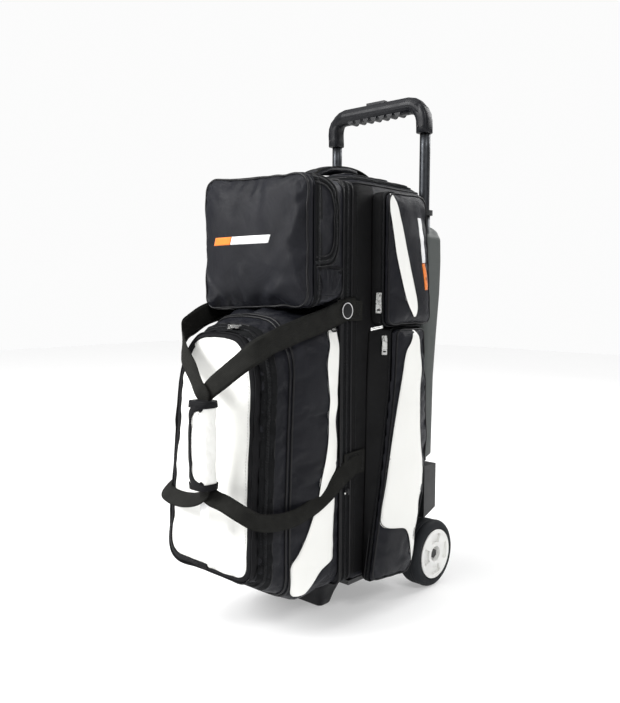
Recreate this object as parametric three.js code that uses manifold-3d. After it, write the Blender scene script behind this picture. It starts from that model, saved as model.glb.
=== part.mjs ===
// Three-ball inline roller bag, standing upright. Millimetres, +Z up, front towards -Y.
// The origin is at the bottom centre of the box. Inside the "bag" group Y = 0 is the wheel axle.
import * as THREE from "three";
import { mergeVertices } from "three/addons/utils/BufferGeometryUtils.js";
import Module from "manifold-3d";

const wasm = await Module();
wasm.setup();

// ---- driving dimensions ----
const GAP = 0.3; // left between pieces that touch
const AXLE_Y = 222; // from the origin back to the axle
const WHEEL_R = 63.5; // five-inch wheels
const TRACK_HALF = 146; // outer face of a hub
const BODY_HALF_W = 118;
const BODY_BACK = -13.5;
const BODY_FRONT = -226;
const BODY_BOTTOM = 65;
const BODY_SHOULDER = 728; // where the domed top starts
const WALL = 5;
const DOOR_BACK = -250; // the door board's rear face
const DOOR_FRONT = -254;
const BALL_R = 108;
const BALL_PITCH = 222;
const FIRST_BALL_Z = 185;
const TUBE_X = 107;
const SHELL_WALL = 2.2; // moulded back shell
const TUBE_TOP = 705; // outer tubes
const GRIP_BAR_Z = 910; // centre line of the grip's bar
const GRIP_SPLIT = 907; // level where the grip's two shells meet
const SHOE_FRONT = -430; // zip line of the shoe compartment, at its foot
const SHOE_LEAN = 25; // how far back the zip line's top stands from its foot
const POCKET_SEAM_X = 138; // zip plane of the side pockets
const POCKET_FACE_X = 150;
const ACC_SEAM_Y = -326; // zip plane of the accessory pocket
const WRAP_CENTRE = new THREE.Vector2(50, -487.5);

// ---- finishes ----
const NYLON = { color: 0x2a2b30, roughness: 0.75, metalness: 0 };
const WEBBING = { color: 0x2d2d2a, roughness: 0.9, metalness: 0 };
const WHITE_VINYL = { color: 0xeeeee8, roughness: 0.45, metalness: 0 };
const GREY_PLASTIC = { color: 0x4e5250, roughness: 0.55, metalness: 0 };
const BLACK_PLASTIC = { color: 0x18191b, roughness: 0.45, metalness: 0 };
const FOAM = { color: 0x3a3a3e, roughness: 0.95, metalness: 0 };
const NICKEL = { color: 0xd8d8d4, roughness: 0.25, metalness: 1 };
const STEEL = { color: 0x8a8d90, roughness: 0.35, metalness: 1 };
const TUBE_METAL = { color: 0x3b3d40, roughness: 0.4, metalness: 0.8 };
const RUBBER = { color: 0x3c3e42, roughness: 0.8, metalness: 0 };
const HUB_WHITE = { color: 0xf2f2ee, roughness: 0.4, metalness: 0 };

const root = new THREE.Group();
const bag = new THREE.Group();
bag.position.y = AXLE_Y;
root.add(bag);

// ---- geometry helpers ----

// A closed three.js geometry as a manifold solid.
function solid(geometry) {
  const bare = geometry.clone();
  bare.deleteAttribute("normal");
  bare.deleteAttribute("uv");
  const merged = mergeVertices(bare, 1e-4);
  return new wasm.Manifold(
    new wasm.Mesh({
      numProp: 3,
      vertProperties: merged.attributes.position.array,
      triVerts: new Uint32Array(merged.index.array),
    }),
  );
}

// A manifold solid back as a three.js geometry with flat normals.
function geometryOf(shape) {
  const mesh = shape.getMesh();
  const indexed = new THREE.BufferGeometry();
  indexed.setAttribute("position", new THREE.BufferAttribute(mesh.vertProperties, 3));
  indexed.setIndex(new THREE.BufferAttribute(mesh.triVerts, 1));
  const flat = indexed.toNonIndexed();
  flat.computeVertexNormals();
  return flat;
}

function cut(base, ...tools) {
  let result = solid(base);
  for (const tool of tools) result = result.subtract(solid(tool));
  return geometryOf(result);
}

function join(...pieces) {
  const [first, ...rest] = pieces.map(solid);
  return geometryOf(rest.reduce((sum, piece) => sum.add(piece), first));
}

function common(a, b) {
  return geometryOf(solid(a).intersect(solid(b)));
}

function box(x0, x1, y0, y1, z0, z1) {
  const geometry = new THREE.BoxGeometry(x1 - x0, y1 - y0, z1 - z0);
  return geometry.translate((x0 + x1) / 2, (y0 + y1) / 2, (z0 + z1) / 2);
}

// A cylinder whose axis is X, Y or Z.
function rod(axis, radius, from, to, a, b, sides = 20) {
  const geometry = new THREE.CylinderGeometry(radius, radius, to - from, sides);
  const middle = (from + to) / 2;
  if (axis === "x") return geometry.rotateZ(Math.PI / 2).translate(middle, a, b);
  if (axis === "y") return geometry.translate(a, middle, b);
  return geometry.rotateX(Math.PI / 2).translate(a, b, middle);
}

// A polygon with each corner turned into a short curve of four points.
function rounded(corners, radius) {
  const ring = [];
  corners.forEach(([x, y], i) => {
    const corner = new THREE.Vector2(x, y);
    const ends = [corners.at(i - 1), corners[(i + 1) % corners.length]].map(([u, v]) => {
      const way = new THREE.Vector2(u, v).sub(corner);
      return way.setLength(Math.min(radius, way.length() * 0.45)).add(corner);
    });
    ring.push(...new THREE.QuadraticBezierCurve(ends[0], corner, ends[1]).getPoints(3));
  });
  return ring;
}

// A counterclockwise polygon moved inwards by depth.
function inset(corners, depth) {
  const line = (i) => {
    const [ax, ay] = corners.at(i);
    const [bx, by] = corners[(i + 1) % corners.length];
    const length = Math.hypot(bx - ax, by - ay);
    const normal = [-(by - ay) / length, (bx - ax) / length];
    return { normal, level: normal[0] * ax + normal[1] * ay + depth };
  };
  return corners.map((_, i) => {
    const before = line(i - 1);
    const after = line(i);
    const det = before.normal[0] * after.normal[1] - before.normal[1] * after.normal[0];
    return [
      (before.level * after.normal[1] - after.level * before.normal[1]) / det,
      (before.normal[0] * after.level - after.normal[0] * before.level) / det,
    ];
  });
}

// A flat outline pushed along X, Y or Z from one level to another.
function prism(outline, axis, from, to) {
  const points = outline.map((p) => (p.isVector2 ? p : new THREE.Vector2(...p)));
  const geometry = new THREE.ExtrudeGeometry(new THREE.Shape(points), {
    depth: to - from,
    bevelEnabled: false,
  });
  if (axis === "z") return geometry.translate(0, 0, from);
  const turn = new THREE.Matrix4();
  if (axis === "x") {
    turn.makeBasis(
      new THREE.Vector3(0, 1, 0),
      new THREE.Vector3(0, 0, 1),
      new THREE.Vector3(1, 0, 0),
    );
    return geometry.applyMatrix4(turn).translate(from, 0, 0);
  }
  turn.makeBasis(
    new THREE.Vector3(1, 0, 0),
    new THREE.Vector3(0, 0, 1),
    new THREE.Vector3(0, -1, 0),
  );
  return geometry.applyMatrix4(turn).translate(0, to, 0);
}

// A flat ring of points placed in space at a level along X, Y or Z.
function ringAt(ring, axis, level) {
  return ring.map(({ x: u, y: v }) => {
    if (axis === "x") return new THREE.Vector3(level, u, v);
    if (axis === "y") return new THREE.Vector3(u, level, v);
    return new THREE.Vector3(u, v, level);
  });
}

// A closed skin through rings that all have the same number of points, with flat ends.
function loft(rings) {
  const count = rings[0].length;
  const points = rings.flat();
  const faces = [];
  for (let r = 0; r + 1 < rings.length; r += 1) {
    for (let i = 0; i < count; i += 1) {
      const next = (i + 1) % count;
      const a = r * count + i;
      const b = r * count + next;
      faces.push(a, b, b + count, a, b + count, a + count);
    }
  }
  [0, rings.length - 1].forEach((r) => {
    const middle = rings[r].reduce((sum, p) => sum.add(p), new THREE.Vector3());
    points.push(middle.divideScalar(count));
    for (let i = 0; i < count; i += 1) {
      const edge = [r * count + ((i + 1) % count), r * count + i];
      if (r) edge.reverse();
      faces.push(points.length - 1, ...edge);
    }
  });
  let volume = 0;
  for (let f = 0; f < faces.length; f += 3) {
    const [a, b, c] = [0, 1, 2].map((k) => points[faces[f + k]]);
    volume += a.dot(new THREE.Vector3().crossVectors(b, c));
  }
  if (volume < 0) faces.reverse();
  const geometry = new THREE.BufferGeometry().setFromPoints(points);
  geometry.setIndex(faces);
  geometry.computeVertexNormals();
  return geometry;
}

// Flat webbing along a smooth path; facing gives its outward normal at each path point.
function webbing(path, facing, width, thickness, steps) {
  const curve = new THREE.CatmullRomCurve3(path.map((p) => new THREE.Vector3(...p)));
  const normals = new THREE.CatmullRomCurve3(facing.map((p) => new THREE.Vector3(...p)));
  const rings = [];
  for (let s = 0; s <= steps; s += 1) {
    const t = s / steps;
    const place = curve.getPoint(t);
    const along = curve.getTangent(t);
    const across = new THREE.Vector3().crossVectors(normals.getPoint(t), along).normalize();
    const out = new THREE.Vector3().crossVectors(along, across).normalize();
    rings.push(
      [[-1, -1], [1, -1], [1, 1], [-1, 1]].map(([a, b]) =>
        place
          .clone()
          .addScaledVector(across, (a * width) / 2)
          .addScaledVector(out, (b * thickness) / 2),
      ),
    );
  }
  return loft(rings);
}

// A turned piece whose axis is X: profile is [radius, x] pairs, closed on itself or on the axis.
function turned(profile, sides) {
  const points = profile.map(([r, x]) => new THREE.Vector2(r, x));
  return new THREE.LatheGeometry(points, sides).rotateZ(-Math.PI / 2);
}

function add(group, name, geometry, finish) {
  const mesh = new THREE.Mesh(geometry, new THREE.MeshStandardMaterial(finish));
  mesh.name = name;
  group.add(mesh);
  return mesh;
}

// ---- ball compartment ----

// Plan outline of the ball compartment, moved inwards by depth.
function bodyPlan(depth) {
  const half = BODY_HALF_W - depth;
  const front = BODY_FRONT + depth;
  const back = BODY_BACK - depth;
  return rounded([[-half, front], [half, front], [half, back], [-half, back]], 16);
}

// Domed block: the compartment's outside, or its inside when skin is the wall thickness.
function bodyBlock(skin) {
  const levels = [
    [BODY_BOTTOM + skin, 0],
    [BODY_SHOULDER, 0],
    [742 - skin * 0.4, 7],
    [755 - skin * 0.8, 24],
    [766 - skin, 50],
    [773 - skin, 80],
  ];
  return loft(levels.map(([z, pull]) => ringAt(bodyPlan(skin + pull), "z", z)));
}

// The wheels stand in notches in the lower rear corners.
function wheelWell(sign, grow) {
  const inner = 93 - grow;
  const [x0, x1] = sign > 0 ? [inner, 160] : [-160, -inner];
  return box(x0, x1, -70 - grow, 20, 0, 133 + grow);
}

function bodyShell() {
  const inner = cut(bodyBlock(WALL), wheelWell(1, WALL), wheelWell(-1, WALL));
  const mouth = box(-111, 111, BODY_FRONT - 10, BODY_FRONT + 30, 72, 732);
  return cut(bodyBlock(0), wheelWell(1, 0), wheelWell(-1, 0), inner, mouth);
}

function baseBoard() {
  const outline = [
    [-112, -222], [112, -222], [112, -72], [84, -72],
    [84, -16], [-84, -16], [-84, -72], [-112, -72],
  ];
  return prism(outline, "z", 57, BODY_BOTTOM - GAP);
}

function frontFoot() {
  const side = [[-236, 0], [-188, 0], [-172, 57 - GAP], [-244, 57 - GAP]];
  return prism(side, "x", -70, 70);
}

function ballCup(index) {
  const z = FIRST_BALL_Z + index * BALL_PITCH;
  const half = index === 0 ? 87 : 112;
  const outline = rounded([[-half, -218], [half, -218], [half, -20], [-half, -20]], 20);
  const block = prism(outline, "z", z - 113.5, z - 70);
  const ball = new THREE.SphereGeometry(BALL_R + 1, 20, 14).translate(0, -119, z);
  return cut(block, ball);
}

add(bag, "body_shell", bodyShell(), NYLON);
add(bag, "base_board", baseBoard(), BLACK_PLASTIC);
add(bag, "front_foot", frontFoot(), BLACK_PLASTIC);
["bottom", "middle", "top"].forEach((place, i) => {
  add(bag, `ball_cup_${place}`, ballCup(i), FOAM);
});

// ---- front door ----

function frontFrame(half, bottom, top) {
  return rounded([[-half, bottom], [half, bottom], [half, top], [-half, top]], 16);
}

function mainZipBand() {
  const outer = prism(frontFrame(117, 68, 744), "y", DOOR_BACK + GAP, BODY_FRONT - GAP);
  return cut(outer, prism(frontFrame(111, 74, 738), "y", DOOR_BACK - 5, BODY_FRONT + 5));
}

add(bag, "main_zip_band", mainZipBand(), NYLON);
add(
  bag,
  "door_board",
  prism(frontFrame(BODY_HALF_W, 66, 745), "y", DOOR_FRONT, DOOR_BACK),
  NYLON,
);

// ---- shoe compartment ----

// Front outline of the shoe compartment at one depth, moved inwards by skin.
function shoeRing([, half, flare, bottom, top], skin) {
  const w = half - skin;
  const foot = w + flare;
  const low = bottom + skin;
  const high = top - skin;
  return rounded(
    [[-foot, low], [foot, low], [w, high - 46], [w * 0.72, high], [-w * 0.72, high], [-w, high - 46]],
    34,
  );
}

// Depth, half-width, widening at the foot, bottom and top, from the back to the zip line.
const SHOE_STATIONS = [
  [DOOR_FRONT - GAP, 117, 0, 66, 545],
  [-345, 110, 2, 66, 532],
  [-378, 106, 4, 86, 520],
  [-412, 102, 7, 106, 506],
  [SHOE_FRONT, 93, 10, 118, 498],
];

// A ring in space at one depth, leaning back more towards its top and towards the zip line.
function leaningRing(ring, y) {
  const share = THREE.MathUtils.clamp((y - DOOR_FRONT) / (SHOE_FRONT - DOOR_FRONT), 0, 1);
  return ringAt(ring, "y", y).map((p) => {
    const rise = THREE.MathUtils.clamp((p.z - 150) / 345, 0, 1);
    return p.setY(y + SHOE_LEAN * share * rise ** 1.4);
  });
}

function shoeCompartment() {
  const rings = (skin) =>
    SHOE_STATIONS.map((station, i) => {
      const level = skin && i === 0 ? station[0] - skin : station[0];
      return leaningRing(shoeRing(station, skin), level);
    });
  const hollow = rings(4);
  hollow.push(leaningRing(shoeRing(SHOE_STATIONS.at(-1), 4), SHOE_FRONT - 5));
  return cut(loft(rings(0)), loft(hollow));
}

// The arched white front, crowned outwards.
function shoeFlap() {
  const crown = [[0, 0.5], [8, 3], [13, 12], [16.5, 30], [18, 52]];
  const skin = (shift) =>
    loft(
      crown.map(([rise, pull]) =>
        leaningRing(shoeRing(SHOE_STATIONS.at(-1), pull), SHOE_FRONT - GAP - rise + shift),
      ),
    );
  return cut(skin(0), skin(4));
}

add(bag, "shoe_compartment", shoeCompartment(), NYLON);
add(bag, "shoe_flap", shoeFlap(), WHITE_VINYL);

// ---- accessory pocket ----

// Front outline of the pocket; share goes from 0 at its back to 1 at its zip, where it is taller.
function accessoryRing(share, skin) {
  const half = 124 - skin;
  const bottom = 549 - 9 * share + skin;
  const top = 741 + 11 * share - skin;
  return rounded([[-half, bottom], [half, bottom], [half, top], [-half, top]], 26);
}

function accessoryCase() {
  const rings = (skin, back, front) =>
    [[0, back], [1, front]].map(([share, y]) => ringAt(accessoryRing(share, skin), "y", y));
  const outer = loft(rings(0, DOOR_FRONT - GAP, ACC_SEAM_Y));
  return cut(outer, loft(rings(4, DOOR_FRONT - 4, ACC_SEAM_Y - 5)));
}

function accessoryFlap() {
  const skin = (depth) =>
    [[0, 0], [10, 1], [14, 5], [16, 13]].map(([rise, pull]) =>
      ringAt(accessoryRing(1, pull + depth), "y", ACC_SEAM_Y - GAP - rise + depth),
    );
  return cut(loft(skin(0)), loft(skin(3.5)));
}

add(bag, "accessory_case", accessoryCase(), NYLON);
add(bag, "accessory_flap", accessoryFlap(), NYLON);

// ---- side pockets ----

// Side outlines [y, z], counterclockwise from the lower front corner: at the body, and at the face.
const SIDE_POCKETS = {
  lower: {
    corner: 10,
    body: [
      [-194, 60], [-92, 56], [-78, 74], [-72, 126], [-48, 192],
      [-38, 300], [-52, 499], [-182, 499], [-187, 400], [-190, 218],
    ],
    face: [
      [-204, 66], [-97, 54], [-78, 74], [-72, 126], [-48, 192],
      [-38, 300], [-52, 499], [-138, 499], [-141, 400], [-172, 218],
    ],
  },
  upper: {
    corner: 18,
    body: [[-176, 504], [-34, 504], [-40, 620], [-56, 732], [-176, 732]],
    face: [[-166, 504], [-34, 504], [-40, 620], [-56, 732], [-166, 732]],
  },
};

function pocketRing({ corner, body, face }, share, pull) {
  const mixed = body.map(([y, z], i) => [
    THREE.MathUtils.lerp(y, face[i][0], share),
    THREE.MathUtils.lerp(z, face[i][1], share),
  ]);
  return rounded(inset(mixed, pull), corner);
}

function pocketPan(shape) {
  const inner = BODY_HALF_W + 0.4;
  const outside = [ringAt(pocketRing(shape, 0, 0), "x", inner)];
  outside.push(ringAt(pocketRing(shape, 0.85, 0), "x", POCKET_SEAM_X));
  const inside = [ringAt(pocketRing(shape, 0.1, 3.5), "x", inner + 2.5)];
  inside.push(ringAt(pocketRing(shape, 1, 3.5), "x", POCKET_SEAM_X + 4));
  return cut(loft(outside), loft(inside));
}

function pocketFlap(shape) {
  const depth = POCKET_FACE_X - POCKET_SEAM_X - GAP;
  const skin = (wall) =>
    [[0, 0.85, 0], [0.5, 1, 0.5], [0.82, 1, 4], [1, 1, 12]].map(([rise, share, pull]) =>
      ringAt(
        pocketRing(shape, share, pull + wall),
        "x",
        POCKET_SEAM_X + GAP + depth * rise - wall,
      ),
    );
  return cut(loft(skin(0)), loft(skin(3)));
}

// ---- zip sliders and pulls ----

// A slider lies in its own XY plane: the zip runs along Y and Z points away from the bag.
function zipSlider() {
  const plate = prism(rounded([[-4, -6], [4, -6], [5, 5], [-5, 5]], 2.5), "z", 0, 2);
  const bridge = box(-1.5, 1.5, -4.5, 4.5, 1.5, 6.2);
  const tunnel = box(-2, 2, -3, 3, 2.3, 4.8);
  return cut(join(plate, bridge), tunnel);
}

// The pull hangs towards -Y from a crossbar through the slider's bridge.
function zipPull(length) {
  const tab = rounded([[-5, -length], [5, -length], [4.5, 0.7], [-4.5, 0.7]], 0.6);
  const eye = box(-2.3, 2.3, -5.6, -0.7, -5, 5);
  const slot = box(-3.2, 3.2, 4 - length, 6.6 - length, -5, 5);
  return cut(prism(tab, "z", -0.7, 0.7), eye, slot).translate(0, 0, 3.55);
}

// Places a slider and its pull; zip and out are the zip's direction and the outward normal.
function addZip(group, name, place, zip, out, pullLength) {
  const along = new THREE.Vector3(...zip).normalize();
  const normal = new THREE.Vector3(...out);
  const across = new THREE.Vector3().crossVectors(along, normal).normalize();
  normal.crossVectors(across, along).normalize();
  const spot = new THREE.Matrix4().makeBasis(across, along, normal).setPosition(...place);
  add(group, `${name}_slider`, zipSlider().applyMatrix4(spot), NICKEL);
  if (pullLength) {
    add(group, `${name}_pull`, zipPull(pullLength).applyMatrix4(spot), NICKEL);
  }
}

// ---- wheels, tubes and pockets of one side; the left side is the mirror image ----

function tyre() {
  return turned(
    [[46.6, 103], [58, 101.5], [61.5, 106], [WHEEL_R, 134], [62, 140], [56, 144.5],
      [46.6, 144.5], [46.6, 103]],
    36,
  );
}

function hub() {
  const disc = turned(
    [[10.3, 104], [46.3, 104], [46.3, TRACK_HALF - 0.6], [44.8, TRACK_HALF],
      [15, TRACK_HALF], [13, 136], [10.3, 136], [10.3, 104]],
    36,
  );
  const kidneys = [];
  for (let k = 0; k < 4; k += 1) {
    const from = (k * Math.PI) / 2 - 0.465;
    const kidney = new THREE.Shape();
    kidney.absarc(0, 0, 39, from, from + 0.93, false);
    kidney.absarc(0, 0, 22, from + 0.93, from, true);
    kidneys.push(prism(kidney.getPoints(5), "x", TRACK_HALF - 5, TRACK_HALF + 3));
  }
  return cut(disc, ...kidneys);
}

function bearing() {
  return turned([[5.3, 105], [10, 105], [10, 135], [5.3, 135], [5.3, 105]], 24);
}

function axleNut() {
  return cut(rod("x", 9, 136.8, 142, 0, 0, 6), rod("x", 5.2, 130, 141, 0, 0, 24));
}

function wheelBracket() {
  const side = [[-11, 131], [28, 146], [28, 232], [-11, 232]];
  const fender = prism(side, "x", 96, 125);
  const arm = prism(rounded([[-11, 48], [14, 48], [28, 90], [28, 232], [-11, 232]], 8), "x", 93, 98);
  return cut(join(fender, arm), rod("x", 5.3, 80, 130, 0, WHEEL_R, 24));
}

function outerTube() {
  return cut(rod("z", 11.5, 240, TUBE_TOP, TUBE_X, 0), rod("z", 10.3, 200, 800, TUBE_X, 0));
}

function innerTube() {
  return cut(rod("z", 9.9, 430, 868, TUBE_X, 0), rod("z", 8.6, 420, 855, TUBE_X, 0));
}

function tubeCollar() {
  const outline = rounded([[93, -12.6], [121, -12.6], [121, 13], [93, 13]], 8);
  return cut(
    prism(outline, "z", TUBE_TOP + GAP, TUBE_TOP + 10),
    rod("z", 10.3, TUBE_TOP - 10, TUBE_TOP + 20, TUBE_X, 0),
  );
}

for (const [side, sign] of [["right", 1], ["left", -1]]) {
  const half = new THREE.Group();
  half.scale.x = sign;
  bag.add(half);
  const wheel = new THREE.Group();
  wheel.position.z = WHEEL_R;
  half.add(wheel);
  add(wheel, `tyre_${side}`, tyre(), RUBBER);
  add(wheel, `hub_${side}`, hub(), HUB_WHITE);
  add(wheel, `bearing_${side}`, bearing(), STEEL);
  add(wheel, `axle_nut_${side}`, axleNut(), BLACK_PLASTIC);
  add(half, `wheel_bracket_${side}`, wheelBracket(), GREY_PLASTIC);
  add(half, `outer_tube_${side}`, outerTube(), TUBE_METAL);
  add(half, `inner_tube_${side}`, innerTube(), TUBE_METAL);
  add(half, `tube_collar_${side}`, tubeCollar(), BLACK_PLASTIC);
  for (const [level, shape] of Object.entries(SIDE_POCKETS)) {
    add(half, `${level}_pocket_pan_${side}`, pocketPan(shape), NYLON);
    add(half, `${level}_pocket_flap_${side}`, pocketFlap(shape), NYLON);
  }
  addZip(half, `upper_pocket_zip_${side}`, [132.6, -170.2, 556], [0, 0, 1], [0.4, -0.92, 0], 30);
  addZip(half, `lower_pocket_zip_${side}`, [132.8, -155.9, 482], [0, 0.04, 1], [0.89, -0.46, 0], 28);
}

add(bag, "axle", rod("x", 5, -140.5, 140.5, 0, WHEEL_R, 24), STEEL);
addZip(bag, "main_zip", [BODY_HALF_W + 0.3, -238, 226], [0, 0, 1], [1, 0, 0], 0);
addZip(bag, "accessory_zip", [-124.6, ACC_SEAM_Y, 640], [0, 0, 1], [-1, 0, 0], 24);
addZip(bag, "shoe_zip", [12, -400.2, 503.4], [-1, 0, 0], [0, -0.52, 1], 22);

// ---- back shell ----

function backBlock(skin) {
  const front = [
    [-92, 84], [92, 84], [92, 236], [121, 236], [121, 688],
    [-121, 688], [-121, 236], [-92, 236],
  ];
  const profile = [[-13, 84], [20, 84], [27, 400], [45, 560], [45, 660], [30, 688], [-13, 688]];
  const plan = prism(inset(front, skin), "y", skin ? -30 : -13, 60);
  const taper = prism(inset(profile, skin).map(([y, z], i) => {
    const open = skin && (i === 0 || i === profile.length - 1);
    return [open ? -30 : y, z];
  }), "x", -130, 130);
  return common(plan, taper);
}

function backShell() {
  const holes = [-TUBE_X, TUBE_X].map((x) => rod("z", 11.9, 660, 700, x, 0));
  return cut(backBlock(0), backBlock(SHELL_WALL), ...holes);
}

add(bag, "back_shell", backShell(), GREY_PLASTIC);

// ---- telescopic handle grip ----

// Centre line of the grip with the half-width and half-depth of its section: leg, corner, bar.
function gripStations() {
  const stations = [[0, 857, -2.5, 11.5, 13.7], [0, 868, -3, 11.5, 13.7], [0, 880, -4, 12, 13.7]];
  for (let k = 1; k <= 5; k += 1) {
    const turn = (k * Math.PI) / 10;
    const share = k / 5;
    stations.push([
      30 * (1 - Math.cos(turn)),
      GRIP_BAR_Z - 30 + 30 * Math.sin(turn),
      -4 - 5 * share,
      12 + 4 * share,
      13.7 + 1.3 * share,
    ]);
  }
  return stations;
}

// The whole grip: an oval section swept up one leg, along the bar and down the other leg.
function gripBody() {
  const rings = gripStations().map(([inwards, z, y, wide, deep], i) => {
    const tilt = Math.max(0, i - 2) * (Math.PI / 10);
    return Array.from({ length: 20 }, (_, n) => {
      const angle = (n * Math.PI) / 10;
      const out = wide * Math.cos(angle);
      return new THREE.Vector3(
        TUBE_X - inwards + out * Math.cos(tilt),
        y + deep * Math.sin(angle),
        z + out * Math.sin(tilt),
      );
    });
  });
  const mirrored = rings.map((ring) => ring.map(({ x, y, z }) => new THREE.Vector3(-x, y, z)));
  return loft([...rings, ...mirrored.reverse()]);
}

function gripLower() {
  const below = common(gripBody(), box(-150, 150, -40, 40, 850, GRIP_SPLIT));
  const ridges = GRIP_BAR_Z - 11;
  const fingers = Array.from({ length: 7 }, (_, n) => rod("y", 6.5, -20, 2, (n - 3) * 19, ridges, 16));
  const sockets = [-TUBE_X, TUBE_X].map((x) => rod("z", 10.3, 840, 869, x, 0));
  return cut(join(below, ...fingers), ...sockets);
}

function gripUpper() {
  const above = common(gripBody(), box(-150, 150, -40, 40, GRIP_SPLIT + GAP, 940));
  return cut(above, box(-22, 22, -15, -3, GRIP_BAR_Z + 4, 940));
}

add(bag, "grip_lower", gripLower(), BLACK_PLASTIC);
add(bag, "grip_upper", gripUpper(), BLACK_PLASTIC);
add(bag, "release_button", box(-21.5, 21.5, -14.5, -3.5, GRIP_BAR_Z + 11, GRIP_BAR_Z + 19), GREY_PLASTIC);

// ---- carry straps, grip wrap and top handle ----

const RIGHT_STRAP = [
  [120.6, -218, 536], [121.2, -250, 532], [119.5, -300, 513], [114, -360, 494],
  [106, -415, 470], [88, -455, 452], [62, -480, 434], [51, -485.6, 416], [50, -485.6, 404],
  [50, -485.6, 340], [50, -485.6, 269], [51, -485.4, 257], [64, -484, 246], [84, -472, 234],
  [105, -446, 222], [116, -402, 210], [119.5, -360, 208], [121, -320, 214],
  [123, -280, 228], [122.5, -245, 250], [120.8, -206, 268],
];
const LEFT_STRAP = [
  [-120.6, -218, 536], [-121.2, -250, 534], [-119.5, -300, 530], [-114, -350, 523],
  [-104, -395, 508], [-86, -432, 488], [-55, -458, 466], [-5, -479, 440], [36, -489, 422],
  [50, -489.6, 410], [50, -489.6, 400], [50, -489.6, 340], [50, -489.6, 270],
  [48, -489.6, 258], [30, -488.5, 247], [-8, -482, 238], [-64, -466, 230], [-103, -445, 228],
  [-121, -412, 246], [-125, -370, 266], [-124, -300, 270], [-122.5, -245, 268], [-120.8, -206, 268],
];

// Outward direction of a carry strap: sideways along the bag's flank, forwards in front of it.
function strapFacing(path) {
  return path.map(([x, y]) => {
    const front = THREE.MathUtils.smoothstep(-y, 395, 470);
    return [Math.sign(x) * (1 - front), -front - 0.001, 0];
  });
}

function gripWrap() {
  const { x, y } = WRAP_CENTRE;
  const sleeve = rounded([[x - 20, y - 20], [x + 20, y - 20], [x + 20, y + 13], [x - 20, y + 13]], 12);
  const channel = box(x - 17, x + 17, y - 4.6, y + 4.6, 240, 420);
  return cut(prism(sleeve, "z", 267, 401), channel);
}

function carryStrap(path) {
  return webbing(path, strapFacing(path), 30, 2.2, 48);
}

const TOP_HANDLE = [
  [0, -216, 752], [0, -200, 771], [0, -166, 784], [0, -119, 789],
  [0, -78, 785], [0, -47, 773], [0, -28, 754],
];

add(bag, "carry_strap_right", carryStrap(RIGHT_STRAP), WEBBING);
add(bag, "carry_strap_left", carryStrap(LEFT_STRAP), WEBBING);
add(bag, "grip_wrap", gripWrap(), WHITE_VINYL);
add(
  bag,
  "top_handle",
  webbing(TOP_HANDLE, TOP_HANDLE.map(() => [0, 0, 1]), 38, 2.6, 16),
  WEBBING,
);

export default root;
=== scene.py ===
import math

import bmesh
import bpy
import numpy as np
from mathutils import Matrix, Vector, noise
from mathutils.bvhtree import BVHTree

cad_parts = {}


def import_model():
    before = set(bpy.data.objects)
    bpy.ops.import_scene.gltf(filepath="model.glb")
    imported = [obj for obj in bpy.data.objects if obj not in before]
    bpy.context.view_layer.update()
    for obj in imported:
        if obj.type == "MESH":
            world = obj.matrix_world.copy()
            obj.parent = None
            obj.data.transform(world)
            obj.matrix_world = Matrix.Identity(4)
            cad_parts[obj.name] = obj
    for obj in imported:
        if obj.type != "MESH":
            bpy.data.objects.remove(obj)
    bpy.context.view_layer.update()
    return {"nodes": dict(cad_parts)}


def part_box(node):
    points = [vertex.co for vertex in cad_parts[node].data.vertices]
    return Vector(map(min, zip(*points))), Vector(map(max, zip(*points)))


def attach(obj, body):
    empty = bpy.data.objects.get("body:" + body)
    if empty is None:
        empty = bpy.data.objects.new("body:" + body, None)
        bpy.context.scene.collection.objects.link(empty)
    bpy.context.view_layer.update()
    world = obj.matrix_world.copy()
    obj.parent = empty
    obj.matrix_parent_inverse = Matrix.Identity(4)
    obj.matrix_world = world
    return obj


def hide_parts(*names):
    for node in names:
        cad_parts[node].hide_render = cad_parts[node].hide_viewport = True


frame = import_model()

# Shapes are worked out in millimetres from the wheel axle (Y = 0) and the floor (Z = 0), X to
# the bag's right-hand side as the camera sees it, and turned into the shared frame by world().
MM = 0.001
AXLE_Y = sum(corner[1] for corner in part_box("axle")) / 2
SIDES = (("right", 1), ("left", -1))
scene = bpy.context.scene


def world(points):
    placed = np.array(points, dtype=float) * MM
    placed[..., 1] += AXLE_Y
    return placed


# ---- camera and lights ----

def make_camera():
    data = bpy.data.cameras.new("camera")
    data.lens = 38.92
    data.sensor_width = 36
    data.clip_start = 0.05
    data.clip_end = 50
    camera = bpy.data.objects.new("camera", data)
    azimuth, pitch, roll = (math.radians(a) for a in (42.07, 4.52, 0.26))
    ahead = Vector((
        -math.sin(azimuth) * math.cos(pitch),
        math.cos(azimuth) * math.cos(pitch),
        -math.sin(pitch),
    ))
    right = Vector((math.cos(azimuth), math.sin(azimuth), 0))
    up = right.cross(ahead)
    side = math.cos(roll) * right + math.sin(roll) * up
    top = -math.sin(roll) * right + math.cos(roll) * up
    turn = Matrix((side, top, -ahead)).transposed().to_4x4()
    camera.matrix_world = Matrix.Translation(world([916.9, -1215.1, 562.5])) @ turn
    scene.collection.objects.link(camera)
    scene.camera = camera


def area_light(name, place, target, size, power):
    data = bpy.data.lights.new(name, "AREA")
    data.shape = "RECTANGLE"
    data.size, data.size_y = size
    data.energy = power
    light = bpy.data.objects.new(name, data)
    light.location = place
    aim = Vector(target) - Vector(place)
    light.rotation_euler = aim.to_track_quat("-Z", "Y").to_euler()
    scene.collection.objects.link(light)


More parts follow.
